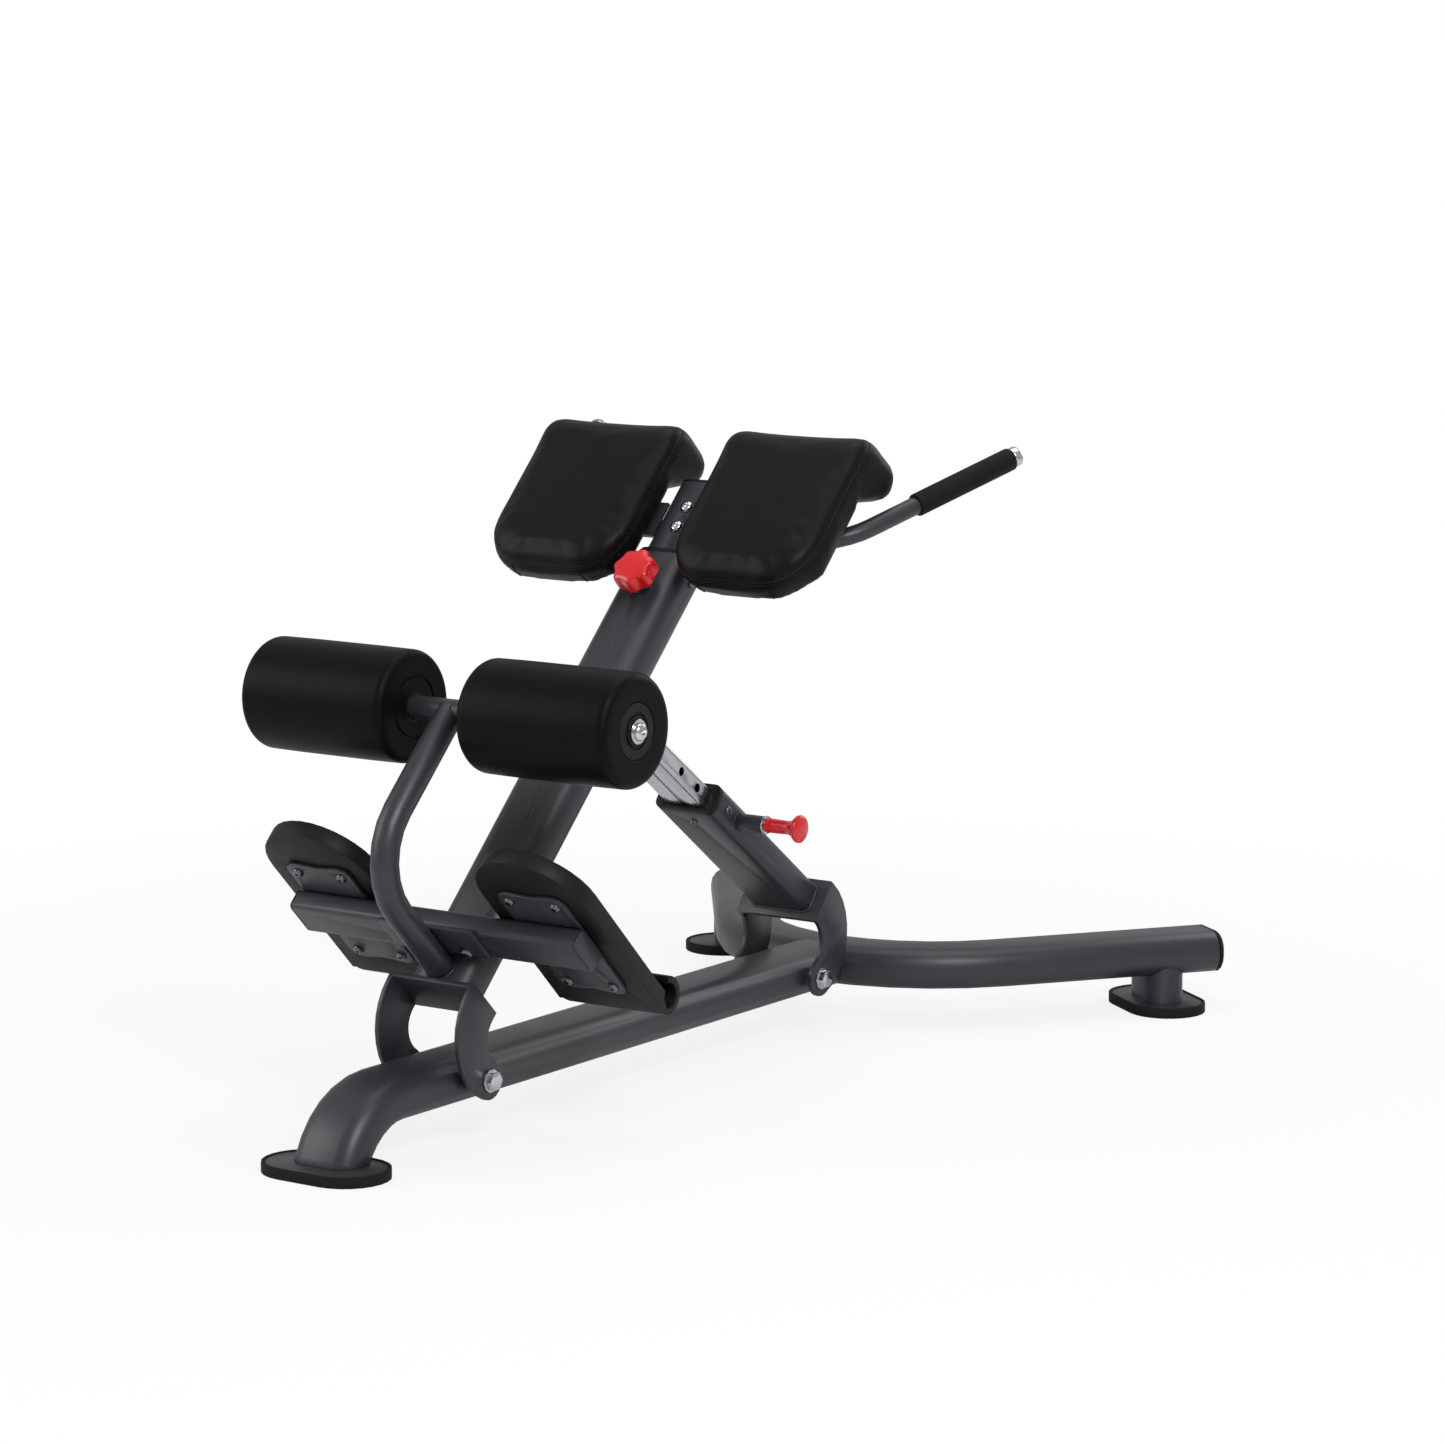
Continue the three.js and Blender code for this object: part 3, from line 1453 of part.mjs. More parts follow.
// Bolt that ties the inner strut to the lug, with a wide washer and a head or nut at each end
const strutWasherStart = earOuter + touchGap;
const strutHeadStart = strutWasherStart + washerThickness;
const strutHeadEnd = strutHeadStart + strutPinHeadHeight;
const strutWasher = alongX(circle(strutWasherRadius), strutWasherStart, strutHeadStart, roundSteps);
const strutPinHead = alongX(hexagon(strutPinHeadRadius), strutHeadStart - touchGap, strutHeadEnd);
piece(strut, "strut_top_bolt", moved(joined(
  alongX(circle(strutPinRadius), -strutHeadEnd, strutHeadEnd),
  strutWasher,
  strutPinHead,
  mirrored(strutWasher),
  mirrored(strutPinHead),
), 0, strutPinAlong, -strutOffset), chromeSteel());

// Pull pin: a boss on the strut's right side with a sprung pin, a plated ring and a red pull knob
const pinBossStart = strutTubeWidth / 2 + touchGap;
const pinBossEndX = pinBossStart + pinBossLength;
const pinRingStart = pinBossEndX + touchGap;
const pinRingEnd = pinRingStart + pinRingLength;
piece(strut, "pin_boss", cut(
  pinCylinder(pinBossRadius, pinBossStart, pinBossEndX, roundSteps),
  pinCylinder(pinBossRadius - pinBossWall, pinBossStart - cutOverrun, pinBossEndX - pinBossEnd),
  pinCylinder(pinClearHole, pinBossStart, pinBossEndX + cutOverrun),
), frameGrey());
piece(strut, "pin_boss_ring", cut(
  pinCylinder(pinRingRadius, pinRingStart, pinRingEnd, roundSteps),
  pinCylinder(pinClearHole, pinRingStart - cutOverrun, pinRingEnd + cutOverrun),
), chromeSteel());

const pullPinTip = innerStrutWidth / 2 + 2 * touchGap;
const pullCollarStart = pinBossStart + touchGap;
const pullKnobStart = pinRingEnd + touchGap;
const pullHeadX = pullKnobStart + pullStemLength;
piece(strut, "pull_pin", joined(
  pinCylinder(pullPinRadius, pullPinTip, pullHeadX),
  pinCylinder(pullPinCollar, pullCollarStart, pullCollarStart + pullPinCollarLength),
), chromeSteel());
const pullSpringStart = pullCollarStart + pullPinCollarLength + touchGap;
piece(strut, "pull_pin_spring", moved(alongX(
  ring(pullPinCollar, pullPinRadius + touchGap),
  pullSpringStart,
  Math.min(pullSpringStart + pullSpringLength, pinBossEndX - pinBossEnd - pullPinTravel - touchGap),
), 0, pullPinAlong, -strutOffset), zincSteel());

// Shares of the knob's length and of its head radius, from the ring to the middle of its domed face
const pullKnobFlare = [[0.7, 0.6], [0.8, 0.85], [0.87, 0.98], [0.93, 1], [0.97, 0.8], [1, 0]];

function pullKnobProfile() {
  const flare = pullKnobFlare.map(([along, out]) => (
    new THREE.Vector2(pullHeadRadius * out, pullKnobLength * along)
  ));
  return [
    new THREE.Vector2(0, 0),
    new THREE.Vector2(pullStemRadius, 0),
    new THREE.Vector2(pullNeckRadius, pullStemLength),
    ...flare,
  ];
}

piece(strut, "pull_knob", cut(
  placed(
    new THREE.LatheGeometry(pullKnobProfile(), roundSteps * 2),
    axisZ,
    axisX,
    new THREE.Vector3(pullKnobStart, pullPinAlong, -strutOffset),
  ),
  pinCylinder(pinClearHole, 0, pullHeadX + touchGap),
), redPlastic());

// The origin is under the middle of the whole object, on the floor
chair.updateMatrixWorld(true);
const bounds = new THREE.Box3().setFromObject(chair, true);
chair.position.y = -(bounds.min.y + bounds.max.y) / 2;
chair.updateMatrixWorld(true);

export default chair;
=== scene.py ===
import json
import math

import bmesh
import bpy
from mathutils import Matrix, Vector
from mathutils.bvhtree import BVHTree

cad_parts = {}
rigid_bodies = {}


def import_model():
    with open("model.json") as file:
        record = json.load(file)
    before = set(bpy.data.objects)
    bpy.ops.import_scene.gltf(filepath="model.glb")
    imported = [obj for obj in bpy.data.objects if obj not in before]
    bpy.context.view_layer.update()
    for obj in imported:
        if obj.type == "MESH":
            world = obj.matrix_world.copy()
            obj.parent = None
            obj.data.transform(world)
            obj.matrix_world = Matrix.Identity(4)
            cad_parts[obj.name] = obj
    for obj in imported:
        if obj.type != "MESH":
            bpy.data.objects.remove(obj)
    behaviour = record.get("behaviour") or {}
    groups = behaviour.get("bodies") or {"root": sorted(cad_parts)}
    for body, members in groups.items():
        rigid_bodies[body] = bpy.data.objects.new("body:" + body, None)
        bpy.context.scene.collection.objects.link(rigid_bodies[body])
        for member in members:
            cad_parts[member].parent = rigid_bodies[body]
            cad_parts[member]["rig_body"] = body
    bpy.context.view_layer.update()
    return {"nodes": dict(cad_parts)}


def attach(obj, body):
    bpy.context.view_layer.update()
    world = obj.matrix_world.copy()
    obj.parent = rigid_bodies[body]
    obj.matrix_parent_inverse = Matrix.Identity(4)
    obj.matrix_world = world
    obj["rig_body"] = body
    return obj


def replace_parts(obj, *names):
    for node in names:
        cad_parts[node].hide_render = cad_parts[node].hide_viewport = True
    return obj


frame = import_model()
solids = frame["nodes"]

# Studio: a pale floor that runs out of sight and soft light from all round, as in a catalogue shot.
# The camera stands in front of the bench and to its right, a little above it, with a long lens.
lens = bpy.data.cameras.new("camera")
lens.lens = 121.67
lens.sensor_width = 36
camera = bpy.data.objects.new("camera", lens)
camera.location = (3.85025, -5.42891, 1.53656)
camera.rotation_euler = (math.radians(81.0012), 0, math.radians(34.7263))
bpy.context.scene.collection.objects.link(camera)
bpy.context.scene.camera = camera
bpy.context.scene.view_settings.view_transform = "Standard"


def linear(code):
    """An sRGB hex colour as linear red, green, blue and alpha."""
    shares = [int(code[i:i + 2], 16) / 255 for i in (1, 3, 5)]
    return [v / 12.92 if v <= 0.04045 else ((v + 0.055) / 1.055) ** 2.4 for v in shares] + [1]


def add_node(tree, kind, inputs=None, **settings):
    """Adds a node, sets it and links it. Inputs are values or other nodes' output sockets."""
    node = tree.nodes.new(kind)
    for name, value in settings.items():
        setattr(node, name, value)
    for socket, value in (inputs or {}).items():
        if isinstance(value, bpy.types.NodeSocket):
            tree.links.new(value, node.inputs[socket])
        else:
            node.inputs[socket].default_value = value
    return node


# The world is white where it is seen, half as bright where it is mirrored and a soft grey where it lights
world = bpy.data.worlds.new("studio")
world.use_nodes = True
bpy.context.scene.world = world
room = world.node_tree
room.nodes.clear()
rays = add_node(room, "ShaderNodeLightPath")
ambient = add_node(room, "ShaderNodeBackground", {"Color": linear("#f4f6fa"), "Strength": 0.36})
mirrored_room = add_node(room, "ShaderNodeBackground", {"Color": linear("#ffffff"), "Strength": 0.5})
white = add_node(room, "ShaderNodeBackground", {"Color": linear("#ffffff"), "Strength": 1.0})
lit_or_mirrored = add_node(room, "ShaderNodeMixShader", {
    0: rays.outputs["Is Glossy Ray"],
    1: ambient.outputs[0],
    2: mirrored_room.outputs[0],
})
shown = add_node(room, "ShaderNodeMixShader", {
    0: rays.outputs["Is Camera Ray"],
    1: lit_or_mirrored.outputs[0],
    2: white.outputs[0],
})
add_node(room, "ShaderNodeOutputWorld", {"Surface": shown.outputs[0]})


def lamp(name, place, target, size, watts):
    """A square soft box that faces the target point."""
    light = bpy.data.lights.new(name, "AREA")
    light.size = size
    light.energy = watts
    holder = bpy.data.objects.new(name, light)
    holder.location = place
    holder.rotation_euler = (Vector(target) - Vector(place)).to_track_quat("-Z", "Y").to_euler()
    bpy.context.scene.collection.objects.link(holder)


lamp("key_light", place=(3.2, -2.4, 3.4), target=(0, 0, 0.4), size=1.8, watts=120)
lamp("fill_light", place=(-3.4, -3.0, 2.4), target=(0, 0, 0.4), size=2.6, watts=70)
lamp("top_light", place=(0.2, 0.6, 3.8), target=(0, 0, 0.3), size=2.6, watts=36)
lamp("back_light", place=(1.0, 3.8, 2.2), target=(0, 0, 0.4), size=2.4, watts=34)

# Floor: matt white paper, which the camera sees as white apart from the bench's soft shadow.
# The shadow is strongest up to 0.7 m from the middle of the floor and is gone at 2.4 m.
shadow_full = 0.7
shadow_gone = 2.4
white_at_bench = 0.82
floor_half = 30
paper = bpy.data.materials.new("white_studio_paper")
paper.use_nodes = True
paper_tree = paper.node_tree
paper_tree.nodes.clear()
paper_rays = add_node(paper_tree, "ShaderNodeLightPath")
matt = add_node(paper_tree, "ShaderNodeBsdfDiffuse", {"Color": linear("#f2f2f2")})
glow = add_node(paper_tree, "ShaderNodeEmission", {"Color": linear("#ffffff"), "Strength": 1.0})
spot = add_node(paper_tree, "ShaderNodeTexCoord")
reach = add_node(paper_tree, "ShaderNodeVectorMath", {0: spot.outputs["Object"]}, operation="LENGTH")
fade = add_node(
    paper_tree, "ShaderNodeMapRange",
    {0: reach.outputs[1], 1: shadow_full, 2: shadow_gone, 3: white_at_bench, 4: 1.0},
    interpolation_type="SMOOTHERSTEP",
)
white_share = add_node(
    paper_tree, "ShaderNodeMath", {0: paper_rays.outputs["Is Camera Ray"], 1: fade.outputs[0]},
    operation="MULTIPLY",
)
blend = add_node(paper_tree, "ShaderNodeMixShader", {
    0: white_share.outputs[0],
    1: matt.outputs[0],
    2: glow.outputs[0],
})
add_node(paper_tree, "ShaderNodeOutputMaterial", {"Surface": blend.outputs[0]})
floor_mesh = bmesh.new()
bmesh.ops.create_grid(floor_mesh, x_segments=1, y_segments=1, size=floor_half)
floor_data = bpy.data.meshes.new("floor")
floor_mesh.to_mesh(floor_data)
floor_mesh.free()
floor = bpy.data.objects.new("floor", floor_data)
floor.data.materials.append(paper)
bpy.context.scene.collection.objects.link(floor)


# Frame: welded mild steel tube and laser-cut plate, powder coated in charcoal.
# Each solid is merged, its cut edges are eased as a deburred plate's are, and it is shaded smooth.
tube_edge = 0.0004
plate_edge = 0.0007
same_place = 0.00002
nearly_flat = math.radians(0.4)
sharp_corner = math.radians(40)


def surface(name, colour, roughness, metallic=0.0, **sockets):
    """A new material with its one-value settings, its node tree and the object coordinates."""
    material = bpy.data.materials.new(name)
    material.use_nodes = True
    tree = material.node_tree
    shader = tree.nodes["Principled BSDF"]
    shader.inputs["Base Color"].default_value = linear(colour)
    shader.inputs["Roughness"].default_value = roughness
    shader.inputs["Metallic"].default_value = metallic
    for socket, value in sockets.items():
        shader.inputs[socket.replace("_", " ")].default_value = value
    place = add_node(tree, "ShaderNodeTexCoord").outputs["Object"]
    return material, tree, shader, place


def vary_gloss(tree, shader, pattern, roughness):
    """Spreads the roughness over a pattern, from a lowest to a highest value."""
    lowest, highest = roughness
    rough = add_node(tree, "ShaderNodeMapRange", {0: pattern, 3: lowest, 4: highest})
    tree.links.new(rough.outputs[0], shader.inputs["Roughness"])


def vary(tree, shader, pattern, dark, light, roughness):
    """Spreads the colour between two tones, and the roughness, over a pattern."""
    tint = add_node(
        tree, "ShaderNodeMix", {0: pattern, 6: linear(dark), 7: linear(light)}, data_type="RGBA"
    )
    tree.links.new(tint.outputs[2], shader.inputs["Base Color"])
    vary_gloss(tree, shader, pattern, roughness)


def emboss(tree, shader, height, depth, strength):
    """Turns a height pattern into a bump of a real depth in metres."""
    bump = add_node(tree, "ShaderNodeBump", {"Height": height, "Distance": depth, "Strength": strength})
    tree.links.new(bump.outputs[0], shader.inputs["Normal"])


# Powder coat: baked polyester, charcoal with a faint blue cast, which gives soft, half-matt highlights.
# Its colour drifts over about 110 mm and the waves of its orange peel are 1.5 mm apart.
powder_coat, tree, shader, place = surface("charcoal_powder_coat", "#2b2c30", roughness=0.38)
clouds = add_node(tree, "ShaderNodeTexNoise", {"Vector": place, "Scale": 9, "Detail": 3})
vary(tree, shader, clouds.outputs[0], dark="#28292d", light="#2f3035", roughness=(0.35, 0.45))
peel = add_node(tree, "ShaderNodeTexNoise", {"Vector": place, "Scale": 1 / 0.0015, "Detail": 1})
emboss(tree, shader, peel.outputs[0], depth=0.00008, strength=0.35)


def finished(mesh, name, material, body, crease=35):
    """Makes an object of a bmesh, smooth up to its creases, riding on a body."""
    for face in mesh.faces:
        face.smooth = True
    for edge in mesh.edges:
        edge.smooth = edge.calc_face_angle(math.pi) < math.radians(crease)
    data = bpy.data.meshes.new(name)
    mesh.to_mesh(data)
    mesh.free()
    piece = bpy.data.objects.new(name, data)
    piece.data.materials.append(material)
    bpy.context.scene.collection.objects.link(piece)
    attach(piece, body)
    return piece


def dress(node, material, edge):
    """A merged copy of a CAD node with its sharp edges eased, in place of the node."""
    mesh = bmesh.new()
    mesh.from_mesh(solids[node].data)
    bmesh.ops.remove_doubles(mesh, verts=mesh.verts, dist=same_place)
    bmesh.ops.dissolve_limit(mesh, angle_limit=nearly_flat, verts=mesh.verts, edges=mesh.edges)
    sharp = [e for e in mesh.edges if e.calc_face_angle(0) > sharp_corner]
    bmesh.ops.bevel(
        mesh, geom=sharp, offset=edge, segments=2, profile=0.5, affect="EDGES", clamp_overlap=False,
        material=-1,
    )
    piece = finished(mesh, node + "_dressed", material, solids[node]["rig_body"])
    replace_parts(piece, node)


def sides(name):
    """The names of the right and the left one of a pair."""
    return [name + "_right", name + "_left"]


for node in ["base_tube", "rear_crossbar", "main_beam", "roller_axle", "roller_post", "handlebar", "pin_boss",
             "strut_tube", "inner_post", "strut_lug", *sides("rear_leg")]:
    dress(node, powder_coat, edge=tube_edge)
for node in ["front_foot_plate", "front_bracket", "rear_bracket", "cross_tube", *sides("footplate_bracket"),
             *sides("pad_plate"), *sides("cross_tube_cap")]:
    dress(node, powder_coat, edge=plate_edge)

# Caps, liners and glides: injection moulded polypropylene, pushed into the ends of the tubes.
# The black plastic has a spark-eroded grain, drawn 0.8 mm across so that it shows, and its dull shade
# drifts a little over about 70 mm.
black_plastic, tree, shader, place = surface(
    "moulded_black_plastic", "#101011", roughness=0.5, Specular_IOR_Level=0.22
)
grain = add_node(tree, "ShaderNodeTexNoise", {"Vector": place, "Scale": 1 / 0.0008, "Detail": 2})
emboss(tree, shader, grain.outputs[0], depth=0.00006, strength=0.5)
shade = add_node(tree, "ShaderNodeTexNoise", {"Vector": place, "Scale": 14, "Detail": 3})
vary(tree, shader, shade.outputs[0], dark="#0e0e0f", light="#131314", roughness=(0.46, 0.58))

for node in ["beam_liner", "strut_liner", "post_glide", "post_cap", "strut_glide", *sides("crossbar_cap")]:
    dress(node, black_plastic, edge=0.0006)

# Pivot bolts, pins and grip caps: machined steel, chrome plated over nickel.
# The plate mirrors the room, and wiping marks about 17 mm wide make it a little duller in places.
chrome, tree, shader, place = surface("chrome_plate", "#c9cbce", roughness=0.12, metallic=1.0)
wipes = add_node(tree, "ShaderNodeTexNoise", {"Vector": place, "Scale": 60, "Detail": 4})
vary_gloss(tree, shader, wipes.outputs[0], roughness=(0.08, 0.18))

for node in ["front_pivot_bolt", "rear_pivot_bolt", "star_knob_pin", "strut_top_bolt", "pin_boss_ring",
             "pull_pin", *sides("grip_cap")]:
    dress(node, chrome, edge=0.0005)

# Inner strut: drawn steel tube, polished along its length and nickel plated.
# Its polishing lines are 0.9 mm wide, coarser than real ones so that they show, and fifty times as long.
strut_lean = 143.3
bright_tube, tree, shader, place = surface("polished_plated_tube", "#b9bbbe", roughness=0.24, metallic=1.0)
lay = add_node(tree, "ShaderNodeMapping", {"Vector": place, "Rotation": (math.radians(-strut_lean), 0, 0)})
stretched = add_node(tree, "ShaderNodeMapping", {"Vector": lay.outputs[0], "Scale": (1, 0.02, 1)})
polish = add_node(tree, "ShaderNodeTexNoise", {
    "Vector": stretched.outputs[0],
    "Scale": 1 / 0.0009,
    "Detail": 3,
})
vary_gloss(tree, shader, polish.outputs[0], roughness=(0.16, 0.34))
emboss(tree, shader, polish.outputs[0], depth=0.00001, strength=0.25)
dress("strut_inner", bright_tube, edge=0.0005)

# Knob boss and springs: turned steel and spring wire, bright zinc plated.
# The plate's crystals, drawn 3 mm wide, give it a patchy, silvery look.
zinc, tree, shader, place = surface("zinc_plate", "#a4a7aa", roughness=0.32, metallic=1.0)
spangle = add_node(tree, "ShaderNodeTexVoronoi", {"Vector": place, "Scale": 1 / 0.003})
vary_gloss(tree, shader, spangle.outputs[0], roughness=(0.26, 0.42))
for node in ["star_knob_boss", "star_knob_spring", "pull_pin_spring"]:
    dress(node, zinc, edge=0.0004)

# Feet: trays of black rubber with a dull moulded skin, pushed on under the foot plates.
# Pores about 1.2 mm apart and a little dust, in patches of about 45 mm, take the shine off.
rubber, tree, shader, place = surface("black_rubber", "#121212", roughness=0.78, Specular_IOR_Level=0.22)
dust = add_node(tree, "ShaderNodeTexNoise", {"Vector": place, "Scale": 22, "Detail": 5})
vary(tree, shader, dust.outputs[0], dark="#101010", light="#181818", roughness=(0.7, 0.86))
pores = add_node(tree, "ShaderNodeTexNoise", {"Vector": place, "Scale": 1 / 0.0012, "Detail": 2})
emboss(tree, shader, pores.outputs[0], depth=0.0001, strength=0.4)
for node in ["front_rubber_foot", *sides("rear_rubber_foot")]:
    dress(node, rubber, edge=0.0014)

# Footplates: moulded plastic plates with a lip round the heel, cross ribs for grip and a rolled toe stop.
# The ribs stand 2.2 mm proud of the plate, and finer ridges line the inside of the roll. A rib too short
# to be of use at the heel's tip is left out.
plate_middle = 174.5
plate_half = 74
heel_start = 210
above_plate = 230
rib_count = 17
rib_first = 30
rib_pitch = 15
rib_width = 4
rib_height = 4.4
rib_rounding = 1.2
rib_shortest_half = 12
roll_middle = (178.6, -22)
roll_bore = 17
roll_bore_slack = 1.2
ridge_radius = 1.1
ridge_length = 150
ridge_turn = 15
ridge_out = 16.8

# Places on the leaning beam are across it, along it and out from it, in millimetres from the front pivot.
# The pivot's own place is in metres from the middle of the floor.
front_pivot = (0, -0.50362, 0.0825)
beam_lean = 45
beam_frame = Matrix.Translation(front_pivot) @ Matrix.Rotation(math.radians(beam_lean), 4, "X")
beam_turn = beam_frame.to_3x3()
to_beam = beam_frame.inverted()


def placing(group, origin, facing):
    """A matrix at a point of a group, with its Z along a direction of that group."""
    turn = Vector(facing).to_track_quat("Z", "Y").to_matrix().to_4x4()
    return group @ Matrix.Translation(Vector(origin) / 1000) @ turn


def merged(parts):
    """One bmesh of several, which are freed."""
    whole = bmesh.new()
    for part in parts:
        data = bpy.data.meshes.new("part")
        part.to_mesh(data)
        part.free()
        whole.from_mesh(data)
        bpy.data.meshes.remove(data)
    return whole


def beam_point(across, along, out):
    """A world point from a place on the beam in millimetres."""
    return beam_frame @ (Vector((across, along, out)) / 1000)


for side, name in zip((1, -1), sides("footplate")):
    dress(name, black_plastic, edge=0.001)
    plate = bmesh.new()
    plate.from_mesh(solids[name].data)
    plate_tree = BVHTree.FromBMesh(plate)
    plate.free()
    ribs = []
    for row in range(rib_count):
        out = rib_first + rib_pitch * row
        past_heel = max(0, out - heel_start)
        half = math.sqrt(max(0, plate_half ** 2 - past_heel ** 2))
        start = beam_point(side * plate_middle, above_plate, out)
        hit = plate_tree.ray_cast(start, beam_turn @ Vector((0, -1, 0)))[0]
        if half < rib_shortest_half or hit is None:
            continue
        along = (to_beam @ hit).y * 1000
        rib = bmesh.new()
        bmesh.ops.create_cube(rib, size=1)
        bmesh.ops.scale(rib, vec=Vector((2 * half, rib_height, rib_width)) / 1000, verts=rib.verts)
        bmesh.ops.bevel(
            rib, geom=rib.edges[:], offset=rib_rounding / 1000, segments=2, profile=0.5, affect="EDGES",
            material=-1,
        )
        rib.transform(placing(beam_frame, (side * plate_middle, along, out), (0, 0, 1)))
        ribs.append(rib)
    finished(merged(ribs), name + "_tread_ribs", black_plastic, "beam")
    # A ray from the roll's middle that leaves by its mouth, or meets something else, gets no ridge
    ridges = []
    middle = Vector((side * plate_middle, *roll_middle)) / 1000
    for step in range(360 // ridge_turn):
        turn = math.radians(ridge_turn * step)
        way = Vector((0, math.cos(turn), math.sin(turn)))
        hit = plate_tree.ray_cast(beam_frame @ middle, beam_turn @ way)[0]
        if hit is None or abs((to_beam @ hit - middle).length * 1000 - roll_bore) > roll_bore_slack:
            continue
        ridge = bmesh.new()
        bmesh.ops.create_cone(
            ridge, cap_ends=True, segments=8, radius1=ridge_radius / 1000, radius2=ridge_radius / 1000,
            depth=ridge_length / 1000, matrix=Matrix.Rotation(math.radians(90), 4, "Y"),
        )
        ridge.transform(beam_frame @ Matrix.Translation(middle + way * ridge_out / 1000))
        ridges.append(ridge)
    finished(merged(ridges), name + "_stop_ridges", black_plastic, "beam")

# Dark screws: steel socket heads, black nickel plated, a smoky grey with soft highlights.
# Four hold each footplate to its bracket from below, two the roller post's plate, one the beam's liner
# and two the strut's. The plate's gloss varies in spots of about 11 mm.
dark_steel, tree, shader, place = surface("black_nickel_steel", "#6e6f72", roughness=0.3, metallic=1.0)
bloom = add_node(tree, "ShaderNodeTexNoise", {"Vector": place, "Scale": 90, "Detail": 3})
vary_gloss(tree, shader, bloom.outputs[0], roughness=(0.22, 0.36))
bracket_face = 145.6
bracket_screws_across = (138, 211, -138, -211)
bracket_screws_out = (36, 212)
post_plate_face = 109.3
post_plate_screws_across = (43, -43)
post_plate_screws_out = 131
tube_side = 50.1
beam_liner_screw_along = 765
strut_face = -71.7
strut_side_screw_along = 330
strut_face_screw_along = 327.4

# Places on the strut are given in the same way, from the rear pivot. The centre lines of both tubes lie
# off their pivots.
rear_pivot = (0, 0.27538, 0.0825)
strut_frame = Matrix.Translation(rear_pivot) @ Matrix.Rotation(math.radians(strut_lean), 4, "X")
beam_line = 81.8
strut_line = -94.3


def turned(profile, matrix, steps, shape=None):
    """A solid of revolution about the matrix's Z, from (radius, height) points in millimetres."""
    mesh = bmesh.new()
    points = [mesh.verts.new((radius / 1000, 0, height / 1000)) for radius, height in profile]
    edges = [mesh.edges.new(pair) for pair in zip(points, points[1:])]
    bmesh.ops.spin(
        mesh, geom=points + edges, axis=(0, 0, 1), cent=(0, 0, 0), angle=2 * math.pi, steps=steps,
        use_merge=True,
    )
    bmesh.ops.remove_doubles(mesh, verts=mesh.verts, dist=same_place / 2)
    bmesh.ops.recalc_face_normals(mesh, faces=mesh.faces)
    if shape:
        for vertex in mesh.verts:
            shape(vertex)
    mesh.transform(matrix)
    return mesh


# Half the turn that one side of a hexagon takes up, and how near a point on a socket's wall is to it
hexagon_half = math.radians(30)
near_wall = 0.05


def screw_head(matrix, radius, height, socket, shank=0.0):
    """A domed head with a hexagonal socket, seated at the matrix, and the shank below it."""
    wall = socket / 2 / math.cos(hexagon_half)

    def hexagonal(vertex):
        """Moves the points on the socket's round wall in to a hexagon's six sides."""
        if abs(vertex.co.xy.length * 1000 - wall) < near_wall:
            turn = math.atan2(vertex.co.y, vertex.co.x) % (2 * hexagon_half) - hexagon_half
            vertex.co.xy *= math.cos(hexagon_half) / math.cos(turn)

    rod = [(0, -shank), (radius * 0.5, -shank), (radius * 0.5, 0)] if shank else [(0, 0)]
    dome = [(radius, 0), (radius, height * 0.2), (radius * 0.95, height * 0.5), (radius * 0.8, height * 0.82),
            (radius * 0.62, height), (wall, height), (wall, height * 0.45), (0, height * 0.4)]
    return turned(rod + dome, matrix, steps=24, shape=hexagonal)


def screw_set(name, group, places, material, body, slot, **head):
    """Screws of one kind, each at a point of the group and facing along one of its directions."""
    heads = [screw_head(placing(group, point, facing), **head) for point, facing in places]
    finished(merged(heads), name, material, body)


screw_set(
    "footplate_screws", beam_frame,
    [((x, bracket_face, out), (0, -1, 0)) for x in bracket_screws_across for out in bracket_screws_out],
    dark_steel, "beam", "zinc", radius=7.5, height=4.5, socket=5, shank=8,
)
screw_set(
    "post_plate_screws", beam_frame,
    [((x, post_plate_face, post_plate_screws_out), (0, -1, 0)) for x in post_plate_screws_across],
    dark_steel, "beam", "zinc", radius=9, height=5.5, socket=6, shank=12,
)
screw_set(
    "beam_liner_screw", beam_frame, [((tube_side, beam_liner_screw_along, beam_line), (1, 0, 0))],
    dark_steel, "beam", "zinc", radius=5.5, height=3, socket=3.5,
)
screw_set(
    "strut_liner_screws", strut_frame,
    [((tube_side, strut_side_screw_along, strut_line), (1, 0, 0)),
     ((0, strut_face_screw_along, strut_face), (0, 0, 1))],
    dark_steel, "strut_outer", "zinc", radius=5.5, height=3, socket=3.5,
)

# Post and board screws: two chrome domed heads, one above the other, in the front face of the inner post.
# Eight dark ones go through the pads' plates from behind into the boards.
post_face = 106.4
post_screws_along = (841, 875.8)
pad_plate_back = 94.5
pad_screws_across = (95, 180, -95, -180)
pad_screws_along = (800, 877)
screw_set(
    "post_screws", beam_frame, [((0, along, post_face), (0, 0, 1)) for along in post_screws_along],
    chrome, "pad_carriage", "chrome", radius=9.5, height=6, socket=6, shank=9,
)
screw_set(
    "pad_screws", beam_frame,
    [((x, along, pad_plate_back), (0, 0, -1)) for x in pad_screws_across for along in pad_screws_along],
    dark_steel, "pad_carriage", "zinc", radius=7, height=4, socket=4, shank=4.7,
)

